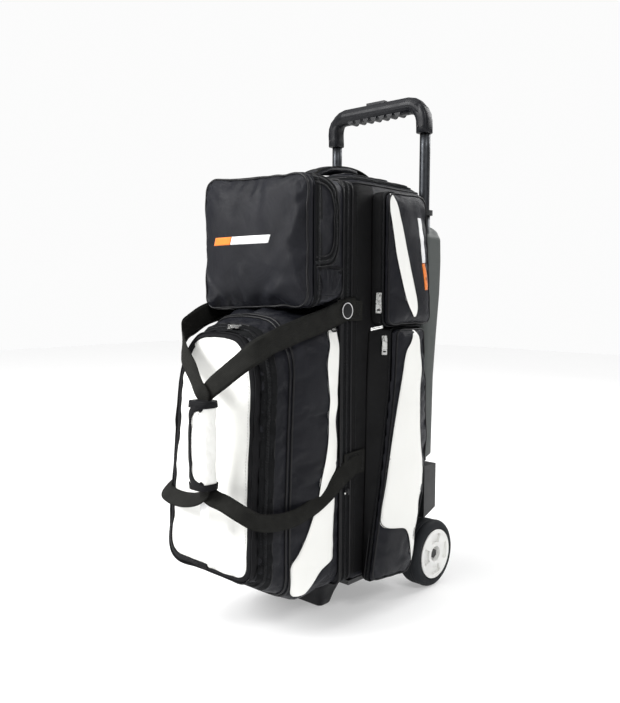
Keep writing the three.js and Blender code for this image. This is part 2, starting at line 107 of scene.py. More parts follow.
def make_studio():
    studio = bpy.data.worlds.new("studio")
    studio.use_nodes = True
    nodes = studio.node_tree.nodes
    ambient = nodes["Background"]
    ambient.inputs["Color"].default_value = (1, 1, 1, 1)
    height = nodes.new("ShaderNodeSeparateXYZ")
    link(studio, coordinates(studio, "Generated"), height.inputs[0])
    glow = nodes.new("ShaderNodeMapRange")
    glow.inputs["From Min"].default_value = -0.1
    glow.inputs["To Min"].default_value = 0.06
    glow.inputs["To Max"].default_value = 0.62
    link(studio, height.outputs["Z"], glow.inputs["Value"])
    link(studio, glow.outputs["Result"], ambient.inputs["Strength"])
    seen = nodes.new("ShaderNodeBackground")
    seen.inputs["Color"].default_value = (1, 1, 1, 1)
    seen.inputs["Strength"].default_value = 0.97
    rays = nodes.new("ShaderNodeLightPath")
    mix = nodes.new("ShaderNodeMixShader")
    link(studio, rays.outputs["Is Camera Ray"], mix.inputs["Fac"])
    link(studio, ambient.outputs[0], mix.inputs[1])
    link(studio, seen.outputs[0], mix.inputs[2])
    link(studio, mix.outputs[0], nodes["World Output"].inputs["Surface"])
    scene.world = studio
    scene.view_settings.view_transform = "Standard"
    area_light("key", (-1.3, -2.5, 2.0), (0, -0.1, 0.4), (1.1, 1.1), 124)
    area_light("side", (2.4, -0.9, 2.3), (0, 0, 0.5), (0.8, 0.8), 34)
    area_light("back", (0.6, 2.4, 2.0), (0, 0.1, 0.5), (1.4, 1.4), 40)
    sun = bpy.data.lights.new("sun", "SUN")
    sun.energy = 1.5
    sun.angle = 0.6
    above = bpy.data.objects.new("sun", sun)
    above.rotation_euler = Vector((0.45, 0.75, -1.7)).to_track_quat("-Z", "Y").to_euler()
    scene.collection.objects.link(above)


# ---- materials ----

def principled(name, colour, roughness, metallic=0.0):
    made = bpy.data.materials.new(name)
    made.use_nodes = True
    shader = made.node_tree.nodes["Principled BSDF"]
    shader.inputs["Base Color"].default_value = (*colour, 1)
    shader.inputs["Roughness"].default_value = roughness
    shader.inputs["Metallic"].default_value = metallic
    return made, shader


def link(made, source, target):
    made.node_tree.links.new(source, target)


def coordinates(made, kind="Object"):
    nodes = made.node_tree.nodes
    found = nodes.get("coordinates") or nodes.new("ShaderNodeTexCoord")
    found.name = "coordinates"
    return found.outputs[kind]


def noise_value(made, scale, detail=3.0, distortion=0.0):
    texture = made.node_tree.nodes.new("ShaderNodeTexNoise")
    texture.inputs["Distortion"].default_value = distortion
    texture.inputs["Scale"].default_value = scale
    texture.inputs["Detail"].default_value = detail
    link(made, coordinates(made), texture.inputs["Vector"])
    return texture.outputs["Fac"]


def bands(made, pitch, direction, kind="Object"):
    """A wave with one crest every pitch metres."""
    texture = made.node_tree.nodes.new("ShaderNodeTexWave")
    texture.bands_direction = direction
    texture.inputs["Scale"].default_value = math.pi / (10 * pitch)
    link(made, coordinates(made, kind), texture.inputs["Vector"])
    return texture.outputs["Fac"]


def maths(made, operation, a, b):
    step = made.node_tree.nodes.new("ShaderNodeMath")
    step.operation = operation
    for socket, value in zip(step.inputs, (a, b)):
        if isinstance(value, (int, float)):
            socket.default_value = value
        else:
            link(made, value, socket)
    return step.outputs[0]


def vary_colour(made, shader, dark, light, scale):
    ramp = made.node_tree.nodes.new("ShaderNodeValToRGB")
    ramp.color_ramp.elements[0].color = (*dark, 1)
    ramp.color_ramp.elements[1].color = (*light, 1)
    ramp.color_ramp.elements[0].position = 0.3
    ramp.color_ramp.elements[1].position = 0.72
    link(made, noise_value(made, scale, 4.0), ramp.inputs["Fac"])
    link(made, ramp.outputs["Color"], shader.inputs["Base Color"])


def vary_roughness(made, shader, low, high, scale):
    span = made.node_tree.nodes.new("ShaderNodeMapRange")
    span.inputs["To Min"].default_value = low
    span.inputs["To Max"].default_value = high
    span.inputs["From Min"].default_value = 0.3
    span.inputs["From Max"].default_value = 0.7
    link(made, noise_value(made, scale), span.inputs["Value"])
    link(made, span.outputs["Result"], shader.inputs["Roughness"])


def bump(made, shader, height, strength, distance):
    relief = made.node_tree.nodes.new("ShaderNodeBump")
    relief.inputs["Strength"].default_value = strength
    relief.inputs["Distance"].default_value = distance
    link(made, height, relief.inputs["Height"])
    previous = shader.inputs["Normal"].links
    if previous:
        link(made, previous[0].from_socket, relief.inputs["Normal"])
    link(made, relief.outputs["Normal"], shader.inputs["Normal"])


def scaled(colour, factor):
    return tuple(min(1.0, channel * factor) for channel in colour)


def woven(name, colour, pitch, roughness, sheen, depth=0.35, creases=0.0):
    """Plain-woven cloth: crossing threads, soft sheen, slightly uneven dye."""
    made, shader = principled(name, colour, roughness)
    vary_colour(made, shader, scaled(colour, 0.82), scaled(colour, 1.22), 14)
    vary_roughness(made, shader, roughness - 0.07, roughness + 0.08, 30)
    threads = maths(made, "ADD", bands(made, pitch, "X"), bands(made, pitch, "Y"))
    threads = maths(made, "ADD", threads, bands(made, pitch, "Z"))
    bump(made, shader, threads, depth, pitch * 0.35)
    bump(made, shader, noise_value(made, 260, 5), 0.12, 0.0006)
    if creases:
        bump(made, shader, noise_value(made, 11, 1.5, distortion=0.4), creases, 0.009)
    shader.inputs["Sheen Weight"].default_value = sheen
    shader.inputs["Sheen Roughness"].default_value = 0.35
    shader.inputs["Sheen Tint"].default_value = (0.75, 0.82, 1.0, 1)
    shader.inputs["Specular IOR Level"].default_value = 0.14
    return made


def ribbed(name, colour, pitch, roughness):
    """Webbing or tape: ribs across its length, from UVs in metres (X across, Y along)."""
    made, shader = principled(name, colour, roughness)
    vary_colour(made, shader, scaled(colour, 0.8), scaled(colour, 1.25), 60)
    ribs = bands(made, pitch, "Y", "UV")
    cords = bands(made, pitch * 2.2, "X", "UV")
    bump(made, shader, maths(made, "ADD", ribs, cords), 0.7, pitch * 0.3)
    bump(made, shader, noise_value(made, 700, 4), 0.25, 0.0003)
    shader.inputs["Specular IOR Level"].default_value = 0.1
    return made


def coated(name, colour, roughness):
    """Coated fabric: fine leather grain, faint smudges, satin surface."""
    made, shader = principled(name, colour, roughness)
    vary_colour(made, shader, scaled(colour, 0.955), colour, 9)
    vary_roughness(made, shader, roughness - 0.06, roughness + 0.1, 22)
    cells = made.node_tree.nodes.new("ShaderNodeTexVoronoi")
    cells.inputs["Scale"].default_value = 900
    link(made, coordinates(made), cells.inputs["Vector"])
    bump(made, shader, cells.outputs["Distance"], 0.16, 0.0004)
    bump(made, shader, noise_value(made, 35, 3), 0.1, 0.002)
    return made


def moulded(name, colour, roughness, grain=1400, relief=0.2, shine=0.5):
    """Moulded plastic: fine spark-eroded grain, slight polish where it is handled."""
    made, shader = principled(name, colour, roughness)
    vary_colour(made, shader, scaled(colour, 0.88), scaled(colour, 1.12), 11)
    vary_roughness(made, shader, roughness - 0.08, roughness + 0.08, 45)
    bump(made, shader, noise_value(made, grain, 2), relief, 0.0003)
    shader.inputs["Specular IOR Level"].default_value = shine
    return made


def plated(name, colour, roughness):
    made, shader = principled(name, colour, roughness, 1.0)
    vary_roughness(made, shader, roughness - 0.08, roughness + 0.12, 180)
    bump(made, shader, noise_value(made, 900, 2), 0.05, 0.0002)
    return made


NYLON = woven("nylon", (0.0075, 0.0078, 0.0105), 0.0009, 0.42, 0.025, 0.3, 0.6)
# Painted shade: a near-black cloth laid where the bag's recesses and pocket walls fall into shade, standing
# in for that shade rather than a fabric of its own.
PAINTED_SHADE_CLOTH = woven("painted_shade_cloth", (0.003, 0.003, 0.0034), 0.0009, 0.6, 0.0)
LINING = woven("lining", (0.03, 0.031, 0.036), 0.0006, 0.7, 0.05)
BINDING = ribbed("binding", (0.008, 0.008, 0.009), 0.0011, 0.7)
ZIP_TAPE = ribbed("zip_tape", (0.006, 0.0063, 0.007), 0.0009, 0.75)
WEBBING = ribbed("webbing", (0.012, 0.012, 0.0108), 0.0014, 0.8)
WHITE_VINYL = coated("white_vinyl", (0.84, 0.84, 0.81), 0.42)
PIPING = moulded("piping", (0.006, 0.006, 0.007), 0.45, 1100, 0.2, 0.25)
GREY_PLASTIC = moulded("grey_plastic", (0.058, 0.065, 0.062), 0.55)
BLACK_PLASTIC = moulded("black_plastic", (0.009, 0.0095, 0.0105), 0.45)
SOFT_BLACK = moulded("soft_black", (0.005, 0.0054, 0.0074), 0.42, 900, 0.3, 0.22)
WHITE_PLASTIC = moulded("white_plastic", (0.82, 0.82, 0.8), 0.35, 1200, 0.08)
TYRE_RUBBER = moulded("tyre_rubber", (0.012, 0.0135, 0.016), 0.7, 500, 0.4, 0.2)
COIL = moulded("zip_coil", (0.01, 0.0105, 0.012), 0.4, 1400, 0.2, 0.25)
THREAD = moulded("thread", (0.01, 0.0105, 0.012), 0.6, 1400, 0.2, 0.2)
WHITE_THREAD = moulded("white_thread", (0.62, 0.62, 0.6), 0.7)
NICKEL = plated("nickel", (0.88, 0.88, 0.86), 0.28)
STEEL = plated("steel", (0.45, 0.46, 0.47), 0.35)
TUBE_METAL = plated("tube_metal", (0.05, 0.053, 0.058), 0.42)
FOAM = moulded("foam", (0.045, 0.045, 0.05), 0.9, 300, 0.6)


# ---- outlines and lofts ----

def smooth_keys(points, per):
    """A Catmull-Rom curve through the points with the same number of steps between each pair."""
    base = np.array(points, dtype=float)
    base = np.vstack([2 * base[0] - base[1], base, 2 * base[-1] - base[-2]])
    dense = []
    for p0, p1, p2, p3 in zip(base, base[1:], base[2:], base[3:]):
        for t in np.linspace(0, 1, per, endpoint=False):
            dense.append(0.5 * (
                2 * p1 + (p2 - p0) * t
                + (2 * p0 - 5 * p1 + 4 * p2 - p3) * t * t
                + (3 * p1 - p0 - 3 * p2 + p3) * t ** 3
            ))
    dense.append(base[-2])
    return np.array(dense)


def smooth_path(points, count):
    """A smooth curve through the points, as count evenly spaced points."""
    return even(smooth_keys(points, 16), count)


def even(points, count, closed=False):
    """The same line as count evenly spaced points; a closed line doesn't repeat its first."""
    line = np.array(points, dtype=float)
    steps = np.linalg.norm(np.diff(line, axis=0), axis=1)
    run = np.concatenate([[0], np.cumsum(steps)])
    marks = np.linspace(0, run[-1], count, endpoint=not closed)
    return np.stack([np.interp(marks, run, column) for column in line.T], axis=1)


def outline(corners, radius, count):
    """A closed 2-D outline with filleted corners, as count evenly spaced points."""
    corners = [np.array(c, dtype=float) for c in corners]
    line = []
    for i, corner in enumerate(corners):
        ends = []
        for other in (corners[i - 1], corners[(i + 1) % len(corners)]):
            way = other - corner
            length = np.linalg.norm(way)
            ends.append(corner + way / length * min(radius, length * 0.48))
        for t in np.linspace(0, 1, 10):
            line.append((1 - t) ** 2 * ends[0] + 2 * t * (1 - t) * corner + t * t * ends[1])
    line.append(line[0])
    return even(line, count, closed=True)


def inset(corners, depth):
    """A counterclockwise polygon with its sides moved inwards."""
    moved = []
    sides = []
    for i, a in enumerate(corners):
        b = corners[(i + 1) % len(corners)]
        way = np.subtract(b, a) / np.linalg.norm(np.subtract(b, a))
        normal = np.array([-way[1], way[0]])
        sides.append((normal, normal @ np.array(a) + depth))
    for i in range(len(corners)):
        (n0, d0), (n1, d1) = sides[i - 1], sides[i]
        moved.append(np.linalg.solve(np.array([n0, n1]), np.array([d0, d1])))
    return moved


def level(ring, axis, value):
    """Puts a 2-D ring in space at one X, Y or Z."""
    return np.insert(ring, "xyz".index(axis), value, axis=1)


def ring_at(corners, pull, radius, count, axis, value):
    """The filleted outline of a polygon drawn in by pull, put in space at one X, Y or Z."""
    return level(outline(inset(corners, pull), radius, count), axis, value)


def loft_data(rings):
    """Points and faces of a closed skin through rings of the same number of points."""
    count = len(rings[0])
    points = np.vstack(rings)
    faces = []
    for r in range(len(rings) - 1):
        for i in range(count):
            a, b = r * count + i, r * count + (i + 1) % count
            faces.append((a, b, b + count, a + count))
    points = np.vstack([points, rings[0].mean(axis=0), rings[-1].mean(axis=0)])
    last = (len(rings) - 1) * count
    for i in range(count):
        j = (i + 1) % count
        faces.append((len(points) - 2, j, i))
        faces.append((len(points) - 1, last + i, last + j))
    return points, faces


def closing(ring, crown, axis, shares):
    """Rings that close a cap over ring, rising by crown towards the middle along an axis."""
    middle = ring.mean(axis=0)
    caps = []
    for share in shares:
        cap = middle + (ring - middle) * share
        cap[:, "xyz".index(axis)] += crown * (1 - share ** 2)
        caps.append(cap)
    return caps


def capped(rings, axis, shares, crown=0.0, last_shares=None, first_crown=0.0):
    """Points and faces of a loft through rings with both ends closed."""
    first = closing(rings[0], first_crown, axis, shares)[::-1]
    return loft_data(first + rings + closing(rings[-1], crown, axis, last_shares or shares))


def looped_faces(rows, count):
    """Faces of a skin that closes on itself both along and around."""
    faces = []
    for r in range(rows):
        nxt = (r + 1) % rows
        for i in range(count):
            j = (i + 1) % count
            faces.append((r * count + i, r * count + j, nxt * count + j, nxt * count + i))
    return faces


# ---- objects ----

def new_object(name, points, faces, material, smooth=True):
    mesh = bpy.data.meshes.new(name)
    mesh.from_pydata(world(points).tolist(), [], [tuple(face) for face in faces])
    work = bmesh.new()
    work.from_mesh(mesh)
    bmesh.ops.recalc_face_normals(work, faces=work.faces)
    work.to_mesh(mesh)
    work.free()
    if smooth:
        mesh.shade_smooth()
    made = bpy.data.objects.new(name, mesh)
    made.data.materials.append(material)
    scene.collection.objects.link(made)
    return made


def finish_piece(made, body, stands_for=()):
    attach(made, body)
    if stands_for:
        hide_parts(*stands_for)
    return made


def changed(made, kind, **settings):
    """Adds one modifier with these settings and applies it."""
    change = made.modifiers.new("change", kind)
    for name, value in settings.items():
        setattr(change, name, value)
    apply_modifiers(made)


def remeshed(made, voxel):
    """The object's closed mesh rebuilt as even quads."""
    changed(made, "REMESH", mode="VOXEL", voxel_size=voxel * MM, use_smooth_shade=True)


def subdivided(made):
    changed(made, "SUBSURF", levels=1, render_levels=1, subdivision_type="CATMULL_CLARK")


def apply_modifiers(made):
    graph = bpy.context.evaluated_depsgraph_get()
    final = bpy.data.meshes.new_from_object(made.evaluated_get(graph), depsgraph=graph)
    made.modifiers.clear()
    made.data = final


def vertices(made):
    """The mesh's points in bag millimetres."""
    flat = np.empty(len(made.data.vertices) * 3)
    made.data.vertices.foreach_get("co", flat)
    points = flat.reshape(-1, 3)
    points[:, 1] -= AXLE_Y
    return points / MM


def set_vertices(made, points):
    made.data.vertices.foreach_set("co", world(points).ravel())
    made.data.update()


def normals(made):
    flat = np.empty(len(made.data.vertices) * 3)
    made.data.vertices.foreach_get("normal", flat)
    return flat.reshape(-1, 3)


def field(points, scale, seed):
    """Smooth noise from -1 to 1 at each point; scale may differ by axis."""
    shifted = np.array(points) * np.array(scale) + np.array([seed * 7.3, seed * 3.1, seed * 5.7])
    return np.array([noise.noise(Vector(p)) for p in shifted])


def rumple(made, depth, scale, seed, where=None):
    """Moves points along their normals by smooth noise, so cloth isn't perfectly flat."""
    points = vertices(made)
    weight = 1 if where is None else where(points)
    height = field(points, scale, seed) + 0.45 * field(points, np.array(scale) * 2.3, seed + 5)
    set_vertices(made, points + normals(made) * (depth * height * weight)[:, None])


FOLD_REACH = 90  # how far a fold reaches past its ends, in square millimetres


def creased(made, folds):
    """Folds in the cloth: each is (start, end, width, height), a soft ridge beside a valley."""
    points, out = vertices(made), normals(made)
    lift = np.zeros(len(points))
    for start, end, width, height in folds:
        start, way = np.array(start, dtype=float), np.subtract(end, start).astype(float)
        run = np.clip((points - start) @ way / (way @ way), 0, 1)
        away = points - start - run[:, None] * way
        side = np.cross(way / np.linalg.norm(way), out)
        across = np.sum(away * side, axis=1)
        beyond = np.maximum(np.sum(away * away, axis=1) - across ** 2, 0)
        u = across / width
        shape = np.exp(-u * u) - 0.6 * np.exp(-(u - 1.6) ** 2)
        lift += height * shape * np.sin(math.pi * run) ** 0.7 * np.exp(-beyond / FOLD_REACH)
    set_vertices(made, points + out * lift[:, None])


def scattered(seed, count, low, high, way, spread, length, width, height):
    """Folds at places drawn from a box, lying roughly along one direction."""
    draw = np.random.RandomState(seed)
    folds = []
    for _ in range(count):
        middle = draw.uniform(low, high)
        turn = np.array(way, dtype=float) + spread * draw.normal(size=3)
        turn *= length * draw.uniform(0.6, 1.3) / 2 / np.linalg.norm(turn)
        wide, high_now = width * draw.uniform(0.7, 1.3), height * draw.uniform(0.6, 1.2)
        folds.append((middle - turn, middle + turn, wide, high_now * draw.choice([-1, 1])))
    return folds


CLOTH_STIFFNESS = 12
CLOTH_FRAMES = 18


def billow(made, held, pressure, slack, cap):
    """Cloth simulation of a stuffed piece: held gives each point's pin weight from 0 to 1."""
    start = vertices(made)
    weights = held(start)
    group = made.vertex_groups.new(name="held")
    for i, weight in enumerate(weights):
        if weight > 0:
            group.add([i], float(weight), "REPLACE")
    cloth = made.modifiers.new("cloth", "CLOTH")
    rules = cloth.settings
    rules.quality = 5
    rules.mass = 0.25
    rules.tension_stiffness = CLOTH_STIFFNESS
    rules.compression_stiffness = CLOTH_STIFFNESS
    rules.shear_stiffness = CLOTH_STIFFNESS * 0.4
    rules.bending_stiffness = 0.4
    rules.use_pressure = True
    rules.uniform_pressure_force = pressure
    rules.shrink_min = -slack
    rules.vertex_group_mass = "held"
    rules.effector_weights.gravity = 0
    cloth.collision_settings.use_collision = False
    cloth.point_cache.frame_start = 1
    cloth.point_cache.frame_end = CLOTH_FRAMES
    for frame_number in range(1, CLOTH_FRAMES + 1):
        scene.frame_set(frame_number)
    apply_modifiers(made)
    scene.frame_set(1)
    made.vertex_groups.clear()
    move = vertices(made) - start
    length = np.linalg.norm(move, axis=1)
    limit = cap * np.tanh(length / cap) / np.maximum(length, 1e-9)
    set_vertices(made, start + move * limit[:, None])


def near(points, axis, value, width):
    """1 within width of a plane, falling to 0 over the same width again."""
    away = np.abs(points[:, "xyz".index(axis)] - value)
    return np.clip(2 - away / width, 0, 1)


# ---- swept pieces ----

def frames_along(path, closed, up_hint=None):
    ahead = np.roll(path, -1, axis=0) - np.roll(path, 1, axis=0)
    if not closed:
        ahead[0] = path[1] - path[0]
        ahead[-1] = path[-1] - path[-2]
    ahead /= np.linalg.norm(ahead, axis=1)[:, None]
    if up_hint is None:
        side = np.cross(ahead[0], [0.31, 0.17, 0.93])
        ups = []
        up = side / np.linalg.norm(side)
        for direction in ahead:
            up = up - direction * (up @ direction)
            up /= np.linalg.norm(up)
            ups.append(up)
        ups = np.array(ups)
    else:
        ups = up_hint - ahead * np.sum(up_hint * ahead, axis=1)[:, None]
        ups /= np.maximum(np.linalg.norm(ups, axis=1), 1e-9)[:, None]
    return ahead, ups, np.cross(ahead, ups)


def sweep_data(path, section, closed=False, up=None):
    """A section of (out, across) pairs swept along a path; up gives the outward direction."""
    path = np.array(path, dtype=float)
    _, ups, sides = frames_along(path, closed, up)
    rings = [
        p + np.outer(section[:, 0], u) + np.outer(section[:, 1], s)
        for p, u, s in zip(path, ups, sides)
    ]
    if closed:
        return np.vstack(rings), looped_faces(len(rings), len(section))
    return loft_data(rings)


def circle(radius, sides=8):
    turn = np.linspace(0, 2 * math.pi, sides, endpoint=False)
    return np.stack([np.cos(turn), np.sin(turn)], axis=1) * radius


def flat_section(width, thickness):
    """A flat strip's section with softened edges, as (out, across) pairs."""
    w, t = width / 2, thickness / 2
    flat = w - 0.35
    return np.array([(-t, -flat), (-t, 0), (-t, flat), (0, w), (t, flat), (t, 0), (t, -flat), (0, -w)])


def cord_piece(name, path, radius, material, closed=False, sides=8):
    return new_object(name, *sweep_data(path, circle(radius, sides), closed), material)


def piping(name, path, radius, body="bag", closed=True, material=None, sides=8):
    """A covered cord sewn along an edge."""
    cord = cord_piece(name, path, radius, material or PIPING, closed, sides)
    return finish_piece(cord, body)


def strip_uv(made, rows, count, closed, path, section):
    """UVs in metres on a swept strip: X across, Y along."""
    steps = np.linalg.norm(np.diff(np.vstack([path, path[:1]]), axis=0), axis=1)
    run = np.concatenate([[0], np.cumsum(steps)]) * MM
    layer = made.data.uv_layers.new(name="strip")
    across = section[:, 1] * MM
    for polygon in made.data.polygons:
        turned = [made.data.loops[i].vertex_index for i in polygon.loop_indices]
        wraps = closed and {v // count for v in turned} == {0, rows - 1}
        for loop, vertex in zip(polygon.loop_indices, turned):
            row = min(vertex // count, rows - 1)
            along = run[-1] if wraps and row == 0 else run[row]
            layer.data[loop].uv = (across[vertex % count], along)


def strip(name, path, outward, width, thickness, material, closed=False):
    """Flat tape or webbing along a path, its face turned outwards."""
    path = np.array(path, dtype=float)
    section = flat_section(width, thickness)
    made = new_object(name, *sweep_data(path, section, closed, np.array(outward)), material)
    strip_uv(made, len(path), len(section), closed, path, section)
    return made


def tape(name, path, outward, width, thickness, closed=False, material=None):
    """Zip tape, or a binding of another cloth, sewn to the bag."""
    made = strip(name, path, outward, width, thickness, material or ZIP_TAPE, closed)
    return finish_piece(made, "bag")


def blocks_data(path, outward, size, pitch, closed=False, lean=0.0):
    """Small bevelled blocks set along a path: size is (along, across, high)."""
    path = np.array(path, dtype=float)
    loop = np.vstack([path, path[:1]]) if closed else path
    length = np.linalg.norm(np.diff(loop, axis=0), axis=1).sum()
    count = max(2, int(length / pitch))
    hints = np.vstack([outward, outward[:1]]) if closed else np.array(outward)
    both = even(np.hstack([loop, hints]), count, closed)
    # Even spacing must follow the path alone, so the hints are read off at the same places.
    ahead, ups, sides = frames_along(both[:, :3], closed, both[:, 3:])
    a, w, h = size[0] / 2, size[1] / 2, size[2]
    shape = [(-a, -w, 0), (a, -w, 0), (a, w, 0), (-a, w, 0),
             (-a * 0.6, -w * 0.8, h), (a * 0.6, -w * 0.8, h),
             (a * 0.6, w * 0.8, h), (-a * 0.6, w * 0.8, h)]
    cube = [(0, 3, 2, 1), (4, 5, 6, 7), (0, 1, 5, 4), (1, 2, 6, 5), (2, 3, 7, 6), (3, 0, 4, 7)]
    points, faces = [], []
    for n, (p, d, u, s) in enumerate(zip(both[:, :3], ahead, ups, sides)):
        for along, across, high in shape:
            points.append(p + d * (along + across * lean) + s * across + u * high)
        faces += [tuple(i + 8 * n for i in face) for face in cube]
    return np.array(points), faces


def stitches(name, path, outward, body, material=None, closed=False):
    """A row of sewn stitches lying on the surface."""
    length, gap = 3.2, 1.6
    data = blocks_data(path, outward, (length, 0.8, 0.55), length + gap, closed)
    return finish_piece(new_object(name, *data, material or THREAD), body)


def zip_teeth(name, path, outward, body, closed=False):
    """A coil zip's row of teeth."""
    data = blocks_data(path, outward, (1.5, 5.6, 1.5), 2.3, closed, lean=0.18)
    return finish_piece(new_object(name, *data, COIL), body)


def zip_line(name, places, outs, width, thickness, closed, rise, end=""):
    """A sewn-in zip: its tape, and the teeth standing on it."""
    tape(f"{name}_tape{end}", places, outs, width, thickness, closed)
    zip_teeth(f"{name}_teeth{end}", places + outs * rise, outs, "bag", closed)


def surface(made):
    """For laying seams and patches on a finished piece: its search tree, in bag millimetres."""
    return BVHTree.FromPolygons(
        [Vector(p) for p in vertices(made)],
        [tuple(polygon.vertices) for polygon in made.data.polygons],
    )


def lifted(found, lift):
    """Places raised along their normals, and those normals, from (place, normal) pairs."""
    places = [place + normal * lift for place, normal in found]
    return np.array(places), np.array([normal for _, normal in found])


def laid(tree, points, lift):
    """Points moved to the nearest place on a surface, and the outward directions there."""
    return lifted([tree.find_nearest(Vector(p))[:2] for p in points], lift)


def eased(places, outs, closed=True, rounds=6):
    """Smooths a line laid on cloth, so a sewn edge runs evenly over small bumps."""
    smooth = []
    for line in (np.array(places), np.array(outs)):
        for _ in range(rounds):
            moved = 0.5 * line + 0.25 * (np.roll(line, 1, axis=0) + np.roll(line, -1, axis=0))
            if not closed:
                moved[[0, -1]] = line[[0, -1]]
            line = moved
        smooth.append(line)
    places, outs = smooth
    return places, outs / np.linalg.norm(outs, axis=1)[:, None]


OUTSIDE = 200  # X of lines that are dropped onto the bag's flank
CAST_RUN = 400  # how far back along its direction a dropped point starts


def cast(tree, points, direction, lift):
    """Points dropped onto a surface along a direction; misses take the nearest place."""
    way = Vector(direction)
    found = []
    for p in points:
        hit = tree.ray_cast(Vector(p) - way * CAST_RUN, way)[:2]
        found.append(tree.find_nearest(Vector(p))[:2] if hit[0] is None else hit)
    return lifted(found, lift)


def slab_faces(height, width):
    """Faces of a thin slab, its upper grid of points before its lower one, and its rim."""
    faces = []
    size = height * width
    for r in range(height - 1):
        for c in range(width - 1):
            a = r * width + c
            faces.append((a, a + 1, a + width + 1, a + width))
            faces.append((size + a, size + a + width, size + a + width + 1, size + a + 1))
    rim = list(range(width)) + [r * width + width - 1 for r in range(1, height)]
    rim += [size - width + c for c in range(width - 2, -1, -1)]
    rim += [r * width for r in range(height - 2, 0, -1)]
    for a, b in zip(rim, rim[1:] + rim[:1]):
        faces.append((a, a + size, b + size, b))
    return faces, rim


def patch_data(tree, rows, direction, lift=1.2, thickness=0.9):
    """A thin appliqué through rows of points, laid on a surface with a turned-in edge."""
    grid = np.array(rows, dtype=float)
    height, width = grid.shape[:2]
    flat = grid.reshape(-1, 3)
    top, outs = cast(tree, flat, direction, lift)
    net = top.reshape(height, width, 3)
    for _ in range(12):
        net[1:-1] = 0.5 * net[1:-1] + 0.25 * (net[:-2] + net[2:])
    top = net.reshape(-1, 3)
    under = top - outs * (lift + thickness)
    border = np.zeros((height, width), dtype=bool)
    border[[0, -1]] = True
    border[:, [0, -1]] = True
    top[border.ravel()] -= outs[border.ravel()] * lift * 0.3
    faces, rim = slab_faces(height, width)
    return np.vstack([top, under]), faces, top[rim], outs[rim]


def turned_data(profile, sides):
    """A turned piece round the X axis; profile is (radius, x) pairs, closed on itself."""
    rings = []
    for turn in np.linspace(0, 2 * math.pi, sides, endpoint=False):
        rings.append([(x, r * math.sin(turn), r * math.cos(turn)) for r, x in profile])
    return np.array(rings).reshape(-1, 3), looped_faces(sides, len(profile))


def bevelled(node, material, width=0.8, segments=2):
    """A carried-over CAD node with eased edges and its own material."""
    made = frame["nodes"][node]
    made.data.materials.clear()
    made.data.materials.append(material)
    ease = made.modifiers.new("ease", "BEVEL")
    ease.width = width * MM
    ease.segments = segments
    ease.limit_method = "ANGLE"
    ease.angle_limit = math.radians(32)
    ease.harden_normals = False
    for polygon in made.data.polygons:
        polygon.use_smooth = False
    return made


def subtract(made, *boxes):
    """Cuts plain boxes, each ((x0, y0, z0), (x1, y1, z1)), out of a closed piece."""
    for low, high in boxes:
        corners = [(x, y, z) for x in (low[0], high[0]) for y in (low[1], high[1])
                   for z in (low[2], high[2])]
        sides = [(0, 1, 3, 2), (4, 6, 7, 5), (0, 4, 5, 1), (2, 3, 7, 6), (0, 2, 6, 4), (1, 5, 7, 3)]
        tool = new_object("tool", np.array(corners, dtype=float), sides, LINING, False)
        changed(made, "BOOLEAN", object=tool, operation="DIFFERENCE", solver="EXACT")
        bpy.data.objects.remove(tool)


def ring_out(ring, axis):
    """Outward directions, in the ring's own plane, of a closed ring of points."""
    middle = ring.mean(axis=0)
    ahead = np.roll(ring, -1, axis=0) - np.roll(ring, 1, axis=0)
    flat = np.zeros(3)
    flat["xyz".index(axis)] = 1
    out = np.cross(ahead, flat)
    out /= np.linalg.norm(out, axis=1)[:, None]
    if np.sum(out * (ring - middle)) < 0:
        out = -out
    return out


def frame_corners(half, bottom, top):
    return [(-half, bottom), (half, bottom), (half, top), (-half, top)]


# ---- ball compartment ----

BODY_CORNERS = [(-118, -226), (118, -226), (118, -13.5), (-118, -13.5)]


def body_cover():
    pulls_z = [66, 68, 74, 728, 736, 743, 749, 754, 759, 764, 768, 771, 773]
    pulls = [2.5, 0.8, 0, 0, 2, 6, 12, 20, 31, 44, 58, 73, 92]
    heights = pulls_z[:3] + list(np.linspace(90, 728, 40)) + pulls_z[4:]
    rings = []
    for z in heights:
        pull = np.interp(z, pulls_z, pulls)
        rings.append(ring_at(BODY_CORNERS, pull, 16, 160, "z", z))
    rings += closing(rings[-1], 1.0, "z", (0.7, 0.35))
    made = new_object("body_cover", *loft_data(rings), NYLON)
    subtract(made, ((92, -71, 40), (140, 20, 134)), ((-140, -71, 40), (-92, 20, 134)))
    remeshed(made, 5)
    changed(made, "SMOOTH", factor=0.5, iterations=2)
    rumple(made, 2.2, 0.011, 1, lambda p: 0.4 + 0.6 * (p[:, 2] > 730))
    for sign in (-1, 1):
        creased(made, scattered(60 + sign, 12, (-90, -210, 750), (90, -30, 772), (sign, 1, 0),
                                0.5, 60, 8, 1.6))
    # Painted shade: the flank strip between the main zip and the side pockets gets the near-black cloth,
    # which paints in the shade of that recess.
    line_inside(made, lambda c: abs(c[0]) > 104 and -228 < c[1] < -168 and 76 < c[2] < 742,
                PAINTED_SHADE_CLOTH)
    return finish_piece(made, "bag", ["body_shell"])


def body_trim():
    for name, pull, z in (("dome_piping", 6.5, 744), ("dome_seam", 47, 764)):
        ring = ring_at(BODY_CORNERS, pull, 16, 200, "z", z)
        piping(name, laid(BODY_TREE, ring, 0.7)[0], 1.3)
    places, outs = laid(BODY_TREE, ring_at(BODY_CORNERS, 22, 16, 200, "z", 755), 0.5)
    zip_line("dome_zip", places, outs, 20, 0.7, True, 0.3)
    for side, sign in SIDES[::-1]:
        line = [(sign * 118.3, -214, z) for z in (80, 400, 728)]
        places, outs = laid(BODY_TREE, even(line, 120), 0.4)
        stitches(f"flank_stitches_{side}", places, outs, "bag")


